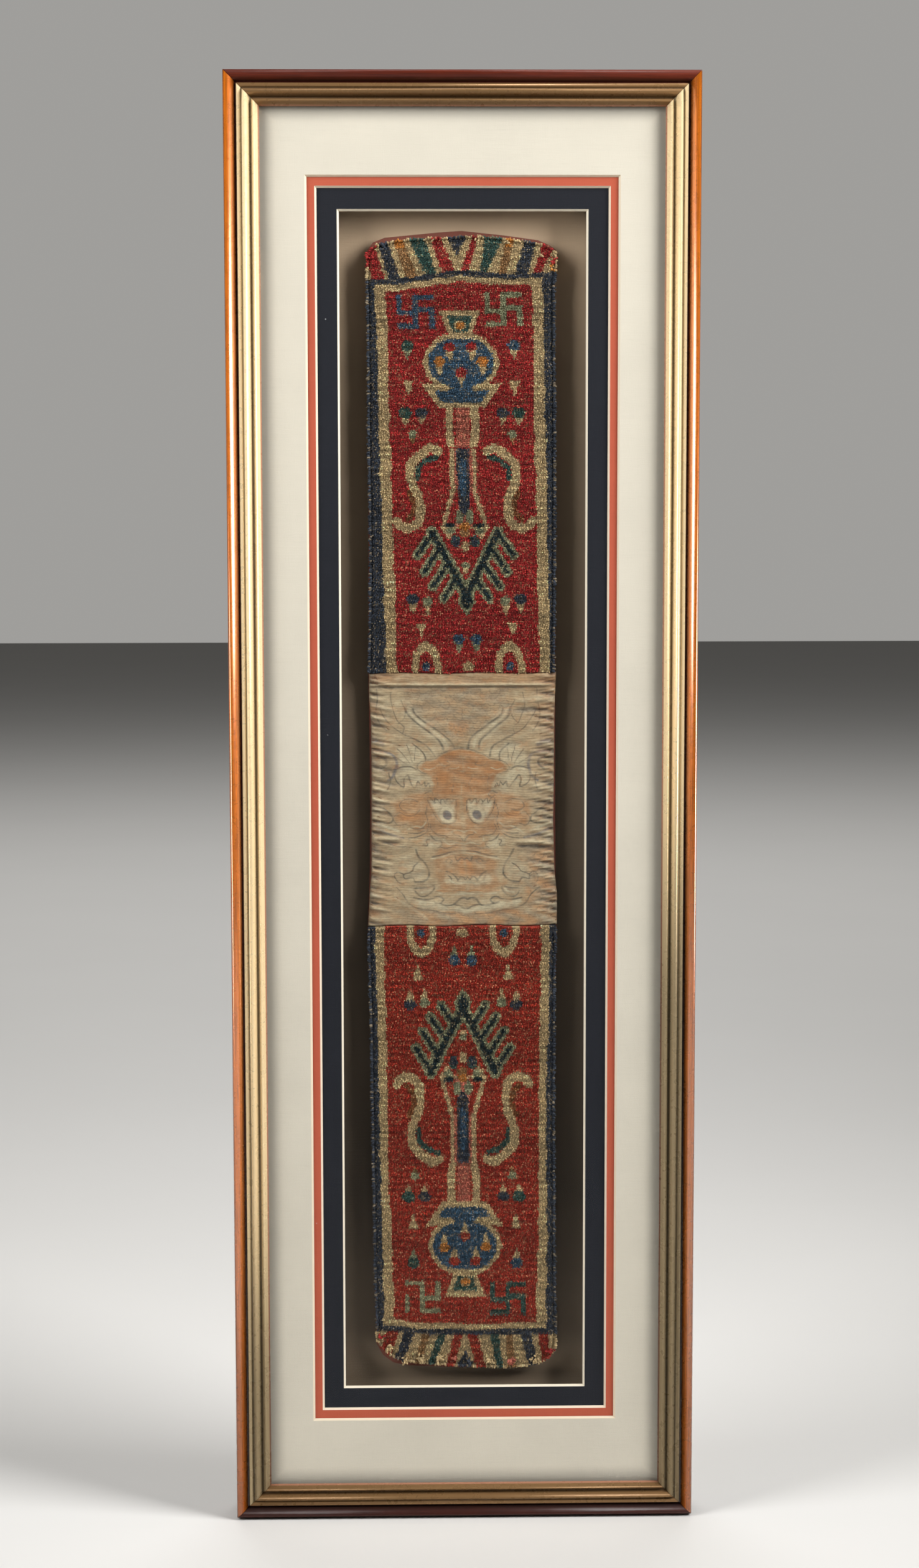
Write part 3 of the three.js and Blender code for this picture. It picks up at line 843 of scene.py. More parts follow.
def draw_drops(chart):
    """The small drops scattered over the field, and the arches that the seam cuts off."""
    chart.oval("cream", 32.5, 3.5, 11.8, 21)
    chart.oval("red", 32.5, 2, 6.4, 14.5)
    chart.oval("blue", 32.5, 5.2, 3.1, 3.4)
    chart.oval("cream", 0.3, 5, 4.6, 3.6)
    chart.drop("blue", 6.8, 26.5, 19.5, "mint", 4.5)
    chart.heart(35.5, 36, 33)
    chart.drop("navy", 41.8, 57.5, 50)
    chart.drop("mint", 30.4, 56, 49, "cream", 4.2)
    chart.heart(38.5, 184, 180.5, "tan")
    chart.oval("mint", 38.5, 184.5, 3.6, 3)
    chart.drop("teal", 43.8, 200.5, 195, "cream", 5.2)
    chart.drop("navy", 31.2, 200.5, 195.5, "cream", 4.8)
    chart.heart(40.8, 222, 217.5)
    chart.drop("teal", 41, 251.5, 246, "mint", 4.9, -1)
    chart.drop("blue", 41, 252, 246, "cream", 4.9, 1)


def draw_end(chart, across, strip):
    """The cream line, the navy bar and the fan of stripes that finish a strip."""
    bar = np.interp(across, *BARS[strip])
    chart.fill(chart.s > bar - 6.8, "cream")
    down = np.clip((chart.s - bar - 2) / (STRIPES_END - bar - 2), 0, 1.2)
    stripes = chart.s > bar + 1
    chart.fill(stripes, "cream")
    for side, at_bar, at_end in ((-1, 1, 2), (1, 3, 4)):
        inner = np.full(chart.s.shape, -9.0)
        for row in STRIPES[strip]:
            outer = row[at_bar] + (row[at_end] - row[at_bar]) * down
            here = (chart.off >= inner) & (chart.off < outer)
            chart.fill(stripes & here, row[0], side)
            inner = outer
    tips = stripes & (down > 0.72) & (chart.hue == HUES.index("tan")) & (strip == "upper")
    chart.fill(tips, "orange")
    chart.fill(abs(chart.s - bar) < 2, "navy")


def strip_hues(x, z, strip):
    """The yarn colour at places on a strip, in millimetres on the frame."""
    rows = (z - SEAMS["upper"]) if strip == "upper" else (SEAMS["lower"] - z)
    across = x - np.interp(rows, *CENTRE_LINES[strip])
    s = rows if strip == "upper" else np.interp(rows, LOWER_ROWS, UPPER_ROWS)
    wobble = 0.35 * np.sin(z / 5.3) + 0.3 * np.sin(z / 2.1 + x)
    chart = Chart(across, s)
    draw_drops(chart)
    draw_fern(chart)
    draw_column(chart)
    draw_ribbons(chart)
    draw_vase(chart)
    if strip == "upper":
        chart.cross("blue", UPPER_CROSS_LEFT, 1, 1)
        chart.cross("mint", UPPER_CROSS_RIGHT, 1, 1)
    else:
        chart.cross("mint", LOWER_CROSS_LEFT, -1, -1, True)
        chart.cross("teal", LOWER_CROSS_RIGHT, -1, 1)
    spots, inner, outer = BORDERS[strip]
    edge = chart.off + wobble
    chart.fill(edge > np.interp(s, spots, inner), "cream")
    draw_end(chart, x, strip)
    below_bar = s < np.interp(x, *BARS[strip])
    chart.fill((edge > np.interp(s, spots, outer)) & below_bar, "navy")
    return chart.hue


# Meshes


def add_piece(name, shape, finish):
    """A new piece from a bmesh or mesh, with its finish; it rides on the frame's body."""
    if isinstance(shape, bmesh.types.BMesh):
        mesh = bpy.data.meshes.new(name)
        shape.to_mesh(mesh)
        shape.free()
    else:
        mesh = shape
        mesh.name = name
    mesh.materials.clear()
    mesh.materials.append(finish)
    made = bpy.data.objects.new(name, mesh)
    bpy.context.scene.collection.objects.link(made)
    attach(made, BODY)
    return made


def cad_copy(name):
    """A bmesh of a CAD node with its doubles merged."""
    shape = bmesh.new()
    shape.from_mesh(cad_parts[name].data)
    bmesh.ops.remove_doubles(shape, verts=shape.verts, dist=1e-5)
    return shape


def rounded_copy(name):
    """A mesh of a CAD node that is shaded smoothly over its curves and stays crisp at its edges."""
    shape = cad_copy(name)
    mesh = bpy.data.meshes.new(name)
    shape.to_mesh(mesh)
    shape.free()
    mesh.shade_smooth()
    mesh.set_sharp_from_angle(angle=math.radians(34))
    return mesh


def cad_tree(name):
    """A CAD node's surface to cast rays on."""
    shape = cad_copy(name)
    tree = BVHTree.FromBMesh(shape)
    shape.free()
    return tree


def surface_at(tree, x, z):
    """The front of a surface at a place in metres: its point and its normal, or None."""
    point, normal, _, _ = tree.ray_cast(Vector((x, -1.0, z)), Vector((0, 1, 0)))
    return (point, normal) if point is not None else None


def open_back(shape):
    """Takes the back of a cloth's solid off."""
    shape.normal_update()
    back = [f for f in shape.faces if f.normal.y > 0.6]
    bmesh.ops.delete(shape, geom=back, context="FACES")


def close_back(shape):
    """Puts one flat face over the open back of a cloth."""
    rim = [e for e in shape.edges if e.is_boundary]
    bmesh.ops.holes_fill(shape, edges=rim, sides=0)
    bmesh.ops.recalc_face_normals(shape, faces=shape.faces)


def smooth_heights(shape, rounds):
    """Evens out the facets of a cloth's front without moving its outline."""
    inner = [v for v in shape.verts if not v.is_boundary]
    for _ in range(rounds):
        bmesh.ops.smooth_vert(
            shape, verts=inner, factor=0.5, use_axis_x=False, use_axis_y=True, use_axis_z=False
        )


def cloth_front(name, cuts, smoothing):
    """The front and sides of a cloth's CAD solid, cut finer and smoothed, still open at the back."""
    shape = cad_copy(name)
    open_back(shape)
    bmesh.ops.subdivide_edges(shape, edges=shape.edges, cuts=cuts, use_grid_fill=True)
    smooth_heights(shape, smoothing)
    return shape


def coordinates(mesh):
    """A mesh's vertex places as an array in millimetres."""
    places = np.empty(len(mesh.vertices) * 3)
    mesh.vertices.foreach_get("co", places)
    return places.reshape(-1, 3) / MM


def paint_vertices(mesh, name, shades):
    """Keeps one colour a vertex as an attribute."""
    layer = mesh.color_attributes.new(name, "FLOAT_COLOR", "POINT")
    layer.data.foreach_set("color", np.column_stack([shades, np.ones(len(shades))]).ravel())


def replicate(template, centres, frames, sizes):
    """One mesh of many copies of a small shape: frames hold each copy's three axes as columns."""
    template.verts.index_update()
    points = np.array([v.co[:] for v in template.verts])
    faces = [[v.index for v in f.verts] for f in template.faces]
    sized = points[None, :, :] * sizes[:, None, :]
    placed = np.einsum("nij,nkj->nki", frames, sized) + centres[:, None, :]
    count = len(points)
    mesh = bpy.data.meshes.new("copies")
    starts = np.arange(len(centres)) * count
    every = [(np.array(face)[None, :] + starts[:, None]).tolist() for face in faces]
    mesh.from_pydata(placed.reshape(-1, 3).tolist(), [], [f for group in every for f in group])
    mesh.update()
    return mesh


def frames_along(direction, turn):
    """Axes whose third column follows each direction, turned about it by an angle."""
    third = direction / np.linalg.norm(direction, axis=1, keepdims=True)
    first = np.cross(third, np.array([0.0, 0.0, 1.0]) + 0.01)
    first /= np.linalg.norm(first, axis=1, keepdims=True)
    second = np.cross(third, first)
    c, s = np.cos(turn)[:, None], np.sin(turn)[:, None]
    return np.stack([first * c + second * s, second * c - first * s, third], axis=2)


def tuft_template():
    """A pointed tuft of yarn, one unit wide and high, standing on its base."""
    shape = bmesh.new()
    bmesh.ops.create_cone(shape, cap_ends=True, segments=4, radius1=0.5, radius2=0.0, depth=1.0)
    bmesh.ops.translate(shape, verts=shape.verts, vec=(0, 0, 0.5))
    bmesh.ops.recalc_face_normals(shape, faces=shape.faces)
    return shape


def bead_template(segments, rings):
    """A round bead one unit wide, with its corners in a fixed order."""
    shape = bmesh.new()
    bmesh.ops.create_uvsphere(shape, u_segments=segments, v_segments=rings, radius=0.5)
    order = Vector((1.0, 10.0, 100.0))
    shape.verts.sort(key=lambda v: v.co.dot(order))
    shape.faces.sort(key=lambda f: f.calc_center_median().dot(order))
    return shape


def palette(look, strip):
    """The wool colours in the order of HUES."""
    shades = {hue: tuple(getattr(look, hue)) for hue in HUES}
    if strip == "lower":
        shades["red"] = tuple(look.red_lower)
    return np.array([shades[hue] for hue in HUES])


# The share of yarns worn pale, and how far they go towards bleached cream
WORN_SHARE, WORN_PALE, BLEACH = 0.16, 0.3, 1.15
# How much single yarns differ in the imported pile, in the cut ends and round the rim
GROUND_SPREAD, TUFT_SPREAD, RIM_SPREAD = 0.12, 0.34, 0.28
# Brightness of the imported pile between the ends, lowered as painted shade, of the ends round the rim
# and of the loose ends
GROUND_SHADE, RIM_LIGHT, LOOSE_LIGHT = 0.55, 0.85, 0.95


def yarn_shades(look, x, z, strip, rng, spread):
    """Painted wool colours at places in millimetres: dye lots, painted shade between knot rows, single
    yarns and worn tips.
    """
    shades = palette(look, strip)[strip_hues(x, z, strip)]
    lots = 1 + 0.08 * np.sin(z / 13 + 0.4 * np.sin(x / 9)) + 0.06 * np.sin(z / 3.7 + x / 31)
    # Light and dark every two knot rows: painted shade between the rows
    lots += 0.12 * np.sin(z * math.tau / 5.2 + 0.8 * np.sin(x / 6))
    single = rng.normal(1.0, spread, x.shape)
    worn = WORN_PALE * (rng.random(x.shape) < WORN_SHARE)
    shades = shades + worn[:, None] * (BLEACH * np.array(tuple(look.cream)) - shades)
    return np.clip(shades * (lots * np.clip(single, 0.45, 1.7))[:, None], 0, 1)


def add_ground(look, strip, finish):
    """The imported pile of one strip, as a sheet a little below the tips."""
    shape = cloth_front(f"pile_strip_{strip}", 7, 2)
    close_back(shape)
    mesh = bpy.data.meshes.new("ground")
    shape.to_mesh(mesh)
    shape.free()
    places = coordinates(mesh)
    front = places[:, 1] < places[:, 1].max() - 2.5
    places[front, 1] += look.sink / MM
    mesh.vertices.foreach_set("co", (places * MM).ravel())
    rng = np.random.default_rng(SEED)
    shades = yarn_shades(look, places[:, 0], places[:, 2], strip, rng, GROUND_SPREAD)
    # The pile between the cut ends lowered in brightness as painted shade
    paint_vertices(mesh, "yarn", shades * GROUND_SHADE)
    mesh.shade_smooth()
    return add_piece(f"pile_ground_{strip}", mesh, finish)


def reach(tree, start, way, limit):
    """How far a surface goes from a place in one direction, in millimetres, found by halving."""
    near, far = 0.0, limit
    for _ in range(12):
        middle = (near + far) / 2
        spot = (start[0] + way[0] * middle, start[1] + way[1] * middle)
        if surface_at(tree, spot[0] * MM, spot[1] * MM):
            near = middle
        else:
            far = middle
    return near


def edge_tufts(look, strip, tree, rng):
    """Yarn ends that spill over the long edges and the free end of a strip."""
    low, high = (np.array(corner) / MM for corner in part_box(f"pile_strip_{strip}"))
    step = 0.75 * look.spacing / MM
    end = 1 if strip == "upper" else -1
    starts = [((0, z), (side, 0)) for side in (-1, 1) for z in np.arange(low[2] + 1, high[2] - 1, step)]
    middle = (low[2] + high[2]) / 2
    starts += [((x, middle), (0, end)) for x in np.arange(low[0] + 6, high[0] - 6, step)]
    rows = []
    for start, way in starts:
        far = reach(tree, start, way, 260) - 1.2
        x, z = start[0] + way[0] * far, start[1] + way[1] * far
        hit = surface_at(tree, x * MM, z * MM)
        if hit:
            rows.append((*hit[0], *way, x, z))
    rows = np.array(rows)
    count = len(rows)
    out = np.stack([rows[:, 3], np.zeros(count), rows[:, 4]], axis=1)
    direction = out + np.array([0, -0.5, -0.12]) + rng.normal(0, 0.32, (count, 3))
    centres = rows[:, :3] + np.array([0, 1.0 * MM, 0])
    height = look.tuft * rng.uniform(0.8, 1.5, count)
    width = look.spacing * rng.uniform(1.0, 1.5, count)
    shades = yarn_shades(look, rows[:, 5], rows[:, 6], strip, rng, RIM_SPREAD)
    return centres, direction, height, width, shades * RIM_LIGHT


def loose_tufts(look, strip, tree, rng):
    """Longer ends that have worked loose here and there, in little bunches."""
    way, seam = (1, SEAMS["upper"]) if strip == "upper" else (-1, SEAMS["lower"])
    parts = [[], [], [], [], []]
    for x, row, hue, long, many in LOOSE_ENDS[strip]:
        z = seam + way * row
        hit = surface_at(tree, x * MM, z * MM)
        if not hit:
            continue
        spots = rng.normal(0, 1.3 * MM, (many, 3)) * np.array([1, 0.3, 1])
        lean = rng.normal(0, 0.75, (many, 3)) + np.array([0, -0.7, 0.6 * way])
        parts[0].append(np.array(hit[0]) + spots + np.array([0, 0.8 * MM, 0]))
        parts[1].append(lean)
        parts[2].append(long * MM * rng.uniform(0.4, 0.8, many))
        parts[3].append(look.spacing * rng.uniform(0.9, 1.5, many))
        shade = LOOSE_LIGHT * np.array(tuple(getattr(look, hue)))
        parts[4].append(np.clip(shade * rng.normal(1.05, 0.2, (many, 1)), 0, 1))
    return [np.concatenate(part) for part in parts]


def paint_copies_with_shade(mesh, template, shades, foot, gain):
    """Paints each copy of a tuft in its own shade, dark at its foot and lighter by a gain to its tip, as
    painted shade.
    """
    light = foot + gain * np.array([v.co.z for v in template.verts])
    paint_vertices(mesh, "yarn", (shades[:, None, :] * light[None, :, None]).reshape(-1, 3))
    mesh.shade_smooth()


def add_ends(look, strip, finish):
    """The blunt yarn ends round the rim of one strip and its loose bunches."""
    tree = cad_tree(f"pile_strip_{strip}")
    rng = np.random.default_rng(SEED + 20 + (strip == "lower"))
    groups = zip(edge_tufts(look, strip, tree, rng), loose_tufts(look, strip, tree, rng))
    centres, direction, height, width, shades = (np.concatenate(pair) for pair in groups)
    template = bead_template(6, 5)
    bmesh.ops.translate(template, verts=template.verts, vec=(0, 0, 0.4))
    turn = rng.uniform(0, math.tau, len(centres))
    sizes = np.column_stack([width, width, height])
    mesh = replicate(template, centres, frames_along(direction, turn), sizes)
    paint_copies_with_shade(mesh, template, shades, 0.55, 0.6)
    template.free()
    return add_piece(f"pile_ends_{strip}", mesh, finish)


def pile_places(look, strip, rng):
    """The foot of each cut end on an uneven grid over the strip, and the surface's normal there."""
    tree = cad_tree(f"pile_strip_{strip}")
    low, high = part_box(f"pile_strip_{strip}")
    columns = np.arange(low.x, high.x, look.spacing)
    rows = np.arange(low.z, high.z, look.spacing)
    grid_x, grid_z = (g.ravel() for g in np.meshgrid(columns, rows))
    jitter = rng.uniform(-0.28, 0.28, (2, len(grid_x))) * look.spacing
    hits = [surface_at(tree, x, z) for x, z in zip(grid_x + jitter[0], grid_z + jitter[1])]
    hits = [hit for hit in hits if hit]
    return np.array([point[:] for point, _ in hits]), np.array([normal[:] for _, normal in hits])


def knot_shades(look, x, z, strip, rng):
    """Colours of the cut ends, which are alike within a knot of two ends of two plies."""
    knot = 2 * look.spacing / MM
    column, row = np.floor(x / knot), np.floor(z / knot)
    middle_x, middle_z = (column + 0.5) * knot, (row + 0.5) * knot
    shades = yarn_shades(look, (x + middle_x) / 2, (z + middle_z) / 2, strip, rng, TUFT_SPREAD)
    # A sine of large steps gives each knot its own light
    knot_light = 1 + 0.3 * np.sin(column * 12.9898 + row * 78.233)
    return np.clip(shades * knot_light[:, None], 0, 1)


def add_tufts(look, strip, finish):
    """The cut ends of one strip's pile."""
    rng = np.random.default_rng(SEED + len(strip) + (strip == "lower"))
    points, normals = pile_places(look, strip, rng)
    count = len(points)
    shades = knot_shades(look, points[:, 0] / MM, points[:, 2] / MM, strip, rng)
    lean = rng.normal(0, 0.26, (count, 3)) + np.array([0.0, 0.0, -0.3])
    direction = normals + lean * np.array([1, 0, 1])
    height = look.tuft * rng.uniform(0.72, 1.15, count)
    width = look.spacing * rng.uniform(1.2, 1.7, count)
    turn = rng.uniform(0, math.tau, count)
    centres = points - normals * (look.tuft * 0.92)
    template = tuft_template()
    sizes = np.column_stack([width, width, height])
    mesh = replicate(template, centres, frames_along(direction, turn), sizes)
    paint_copies_with_shade(mesh, template, shades, 0.34, 0.98)
    template.free()
    return add_piece(f"pile_tufts_{strip}", mesh, finish)


# The silk panel


# Tucks that the side stitches pull: side, depth, pace down the edge, sway, its length and the slant
TUCKS = (
    ("left", 2.6, math.tau / 8.6, 1.5, 7, 7),
    ("left", 1.6, 1.45, 2, 9, 3),
    ("right", 2.8, math.tau / 7.1, 1.6, 6, -6),
    ("right", 1.3, 2.1, 1.4, 8, 2.5),
)
# How far the tucks reach in from their side
TUCK_REACH = {"left": 22, "right": 24}
# Folds near the sides: how far they stand out, their height, run for each fall, width and sides
FOLDS = (
    (2.0, 84, 30, 2.6, "right"),
    (-2.2, 76, 25, 1.6, "right"),
    (2.2, -24, -40, 1.5, "both"),
    (-2.2, -27.6, -40, 1.3, "both"),
)
# The seam of the top hem: how far each of its lines stands out, its height and width
HEM_LINES = ((2.2, 98, 0.9), (-1.6, 96, 0.9))


def panel_rise(x, z, left, right):
    """Fine creases of the silk in millimetres: pulls from the side stitches and weft ripples."""
    inset = {"left": x - left, "right": right - x}
    tuck = np.zeros(x.shape)
    for side, depth, pace, sway, sway_length, slant in TUCKS:
        pull = rising(inset[side], TUCK_REACH[side], -TUCK_REACH[side]) ** 1.2
        tuck += depth * pull * np.sin(z * pace + sway * np.sin(z / sway_length) + inset[side] / slant)
    tuck *= 0.35 + 0.75 * np.sin(z / 9.3 + 2 * np.sin(z / 4.1) + x / 40) ** 2
    ripple = 0.55 * np.sin(z / 1.6 + 2.2 * np.sin(x / 14)) * np.sin(x / 17 + z / 23)
    slack = 0.5 * np.sin(x / 8 + z / 15) * np.sin(z / 9 - x / 30)
    wefts = 0.22 * np.sin(z * math.tau / 1.9 + 1.7 * np.sin(x / 6) + x / 15)
    rise = tuck + ripple + slack + wefts
    for out, height, width in HEM_LINES:
        rise += out * ridge(z, height, width)
    near_right = rising(x, 36, 10)
    near = {"right": near_right, "both": np.maximum(near_right, rising(-x, 46, 8))}
    for out, height, run, width, sides in FOLDS:
        rise += out * ridge(z, height + x / run, width) * near[sides]
    return rise


# The woven face leans: heights, and where its middle line lies there
FACE_HEIGHTS = (-92, -55, -36, -20, -4, 30, 47, 76, 100)
FACE_MIDDLES = (3, 3, 1.3, 0.3, -1.2, -0.2, -1.7, -3.9, -5)

# The middle of an eye, from the face's middle line and above the frame's middle
EYE = (12.1, -4.2)

# Lines of the face in half, from its middle: colour, width, strength and points
FACE_LINES = (
    # Horns
    ("line", 1.5, 0.75, ((34.5, 79), (32.6, 75), (27.3, 70), (21.4, 66), (15.8, 62), (11.4, 58),
        (7.8, 54.4), (5.9, 50.5), (5.6, 48))),
    ("line", 1.6, 0.75, ((40.5, 80), (39, 75), (34.6, 70), (29.9, 66), (24.8, 62), (20.2, 58),
        (16.6, 54), (14.6, 50), (14, 47.5))),
    ("pale", 1.6, 0.5, ((37.2, 78), (35.8, 75), (31, 70), (25.6, 66), (20.3, 62), (15.8, 58),
        (12.2, 54), (10.4, 50))),
    ("line", 1.3, 0.7, ((42, 58.5), (35, 55.5), (28, 51.5), (24, 47), (21.5, 42))),
    ("line", 0.8, 0.6, ((60, 79), (55, 70), (48.5, 63), (42, 58.5))),
    ("line", 1.1, 0.6, ((38, 52), (32.5, 47), (30, 43), (29, 39))),
    ("line", 0.8, 0.5, ((62.5, 95), (63, 80), (61.5, 68), (57, 62))),
    ("line", 0.7, 0.4, ((52, 92), (51, 80), (47, 70), (42, 65), (44, 60))),
    ("line", 0.7, 0.45, ((44, 86), (41, 79), (42, 72), (46, 68))),
    # Brow
    ("line", 0.7, 0.45, ((0, 48.8), (7.8, 47), (16.5, 43.6), (21.4, 40.2), (29.2, 38.8), (33.5, 36.8),
        (35.5, 33.4), (33, 30), (28, 28.2))),
    ("pale", 0.7, 0.6, ((22, 33), (26, 31.6), (30, 32.4))),
    ("pale", 0.6, 0.7, ((3, 33.5), (7, 32.2), (11, 32.6))),
    ("line", 0.6, 0.35, ((12, 38), (10, 36), (12.5, 34.6), (17, 35), (19, 37.6))),
    ("line", 0.6, 0.3, ((20, 26), (19, 21), (20.5, 16))),
    ("line", 0.6, 0.3, ((7, 26), (6, 20), (7.5, 14))),
    # Rays behind the ear
    ("line", 0.6, 0.6, ((41, 36.5), (46, 44), (50, 48))),
    ("line", 0.6, 0.55, ((39, 38), (41, 45), (43, 51))),
    ("line", 0.6, 0.5, ((37, 39), (37, 45), (36.5, 49))),
    ("line", 0.6, 0.45, ((44, 36), (50, 40), (54, 43))),
    # Ear and its hair
    ("line", 1.0, 0.6, ((53, 31.8), (46.7, 33.9), (40.9, 33.9), (36, 31.5))),
    ("line", 1.0, 0.7, ((52.6, 30), (51.4, 23.5), (48, 19.3), (45, 18.3), (44.6, 24), (42.6, 27.4),
        (39.8, 22.4), (37.3, 18), (35, 18.4), (34.4, 22.4), (31.6, 19.6), (29.5, 22))),
    ("line", 0.7, 0.5, ((29.5, 22), (28, 18.5), (26.5, 21), (25, 18))),
    ("eye", 2.1, 0.6, ((70, 46), (60.5, 45.4), (54.5, 43), (51.8, 38), (52, 32), (53.5, 26.5),
        (58, 23))),
    ("line", 1.8, 0.7, ((66, 42), (60.3, 39.8), (59.2, 35.5), (62.8, 32.5))),
    ("line", 1.0, 0.5, ((57, 29), (56, 22), (58, 16))),
    ("eye", 3.2, 0.7, ((70, 54), (65, 53.5), (61.5, 51.5))),
    # Eyes
    ("line", 0.7, 0.65, ((4.5, 3), (4.5, 7), (6.6, 8.2), (7.6, 5), (9.4, 8.2), (11.4, 8.4), (11.8, 5),
        (14, 8), (16, 7.4), (15.6, 4.4))),
    ("line", 0.7, 0.6, ((15.6, 4.4), (18.6, 8), (20.6, 8.8), (20.6, 5), (23.4, 8.6), (25.6, 10),
        (27, 7.5), (25.6, 5.4))),
    ("line", 0.6, 0.5, ((27, 7.5), (24.6, 1), (21.5, -5), (17, -10.2), (11.6, -11.2), (6.6, -9),
        (4.4, -3), (4.5, 3))),
    ("line", 0.6, 0.45, ((28, 13), (23.5, 14.6), (21.8, 11.8), (24, 9.8), (26.5, 11.4))),
    # Cheeks
    ("line", 0.6, 0.5, ((27.5, 5), (28.4, -2), (27, -9), (28.5, -16), (32, -20), (38, -22))),
    ("pale", 0.9, 0.65, ((29, -10), (33, -13.5), (38, -13), (43.5, -16), (47, -19))),
    ("line", 0.7, 0.55, ((31, -14), (36, -15.4), (41, -14))),
    ("line", 0.7, 0.55, ((30.5, -16.5), (36, -18.6), (42.4, -18.4))),
    ("line", 0.7, 0.5, ((31, -19), (36.5, -21.6), (43, -22.4))),
    ("line", 0.6, 0.45, ((35, 6), (40, 8.6), (46, 7.4), (49, 3), (46, -0.6), (40, 0.6))),
    ("line", 0.6, 0.4, ((33, 0), (37, -4), (44, -4.6), (50, -2), (54, -7), (50, -12), (44, -11))),
    ("line", 1.2, 0.6, ((72, 4), (63, 1.5), (56, -4), (54.4, -8.6), (59, -10.4), (66, -9))),
    ("eye", 1.7, 0.6, ((71, -13), (62, -17.6), (53, -20.4), (47, -22))),
    ("pale", 2.0, 0.55, ((71, -9), (64, -12.4), (56, -14.6), (50, -17))),
    # Nose
    ("line", 0.7, 0.5, ((9, -17), (7, -19.6), (3.4, -20.4), (0, -24.4))),
    ("pale", 0.8, 0.65, ((9.6, -18.4), (8, -16.6), (4, -16.2), (0, -17.8))),
    ("line", 0.7, 0.5, ((12, -21.6), (15.5, -20.4), (21, -19.6), (25.4, -15.4), (25, -11.4))),
    ("pale", 0.7, 0.5, ((0, -27), (6, -26), (11, -27.6), (15.5, -24.6), (15, -21.4))),
    ("line", 0.6, 0.4, ((0, -29.6), (7, -28.6), (14, -30.6), (18.6, -28.8))),
    # Whiskers
    ("line", 0.8, 0.6, ((27, -19), (24.5, -23), (28.5, -24), (27.4, -28), (31.5, -27.6))),
    ("line", 0.8, 0.55, ((27, -19), (22.4, -24), (18, -25), (17.6, -28.6), (20, -30))),
    ("pale", 1.2, 0.5, ((25.4, -23), (25, -26.5), (22, -28.4))),
    ("line", 0.7, 0.5, ((41, -29.5), (52, -28.4), (62, -25.4))),
    # Mouth
    ("line", 1.0, 0.8, ((25.5, -37.2), (19, -36), (13, -34.4), (8, -32.9), (0, -32.4))),
    ("pale", 0.8, 0.6, ((27, -38.6), (19, -37.6), (13, -36), (8, -34.6), (0, -34.2))),
    ("line", 0.7, 0.55, ((15, -41), (12, -38.4), (9.4, -40.4), (11.6, -42))),
    ("line", 0.8, 0.6, ((6.8, -37), (5, -40.6), (2.6, -38.2), (0, -39.4))),
    ("line", 0.9, 0.75, ((16.4, -48.6), (12.4, -50.2), (9, -53.6), (7.6, -56.4))),
    ("line", 0.8, 0.65, ((14.6, -52), (12.4, -54.6), (12.8, -57.4))),
    ("line", 0.7, 0.7, ((7.6, -55.4), (5.6, -53), (3.6, -53.2), (2.4, -55.2), (0, -52.6))),
    ("pale", 1.5, 0.7, ((14, -55.6), (8, -58.6), (3, -57.4), (0, -57.8))),
    ("rust", 1.0, 0.8, ((24, -63.8), (14, -64.4), (6, -63.6), (0, -64.4))),
    ("pale", 1.3, 0.6, ((22, -66), (12, -67), (0, -66.4))),
    # Jaw and beard
    ("line", 1.3, 0.75, ((38, -31), (36, -37), (31.5, -42), (29.4, -47.5), (30.5, -52.5), (35, -56.4),
        (41, -57))),
    ("line", 0.9, 0.6, ((41, -57), (43.4, -53.6), (48.6, -54.4), (49.6, -51), (44, -48.8), (41, -44.6),
        (37, -42))),
    ("line", 0.8, 0.5, ((49.6, -51), (54, -49), (57, -52), (54.6, -57), (50, -58.4))),
    ("line", 1.1, 0.7, ((41, -64), (36.6, -68.2), (30.8, -67.6), (26.8, -63.4), (27, -60), (32, -61.6),
        (41, -62))),
    ("pale", 1.4, 0.5, ((36, -65.4), (31.4, -64.8), (28.6, -62.4))),
    ("line", 1.2, 0.75, ((42, -69.4), (34, -71), (27, -70.4), (22.4, -68.4), (18, -71), (20.6, -74),
        (25, -73))),
    ("line", 1.3, 0.8, ((20.6, -74), (15, -75.8), (10, -74.8), (6.6, -70.8), (2.6, -69.6), (0, -71))),
    ("line", 1.1, 0.7, ((10, -74.8), (5, -76), (2, -78), (0, -77.6))),
    ("pale", 2.6, 0.7, ((40, -72.4), (28, -74.6), (19, -76.8), (8, -78.4), (0, -80.6))),
    ("line", 0.8, 0.5, ((56, -61), (50, -67), (44, -74.4), (36, -78.4), (27, -79.4), (18, -81.6),
        (8, -82.4))),
)
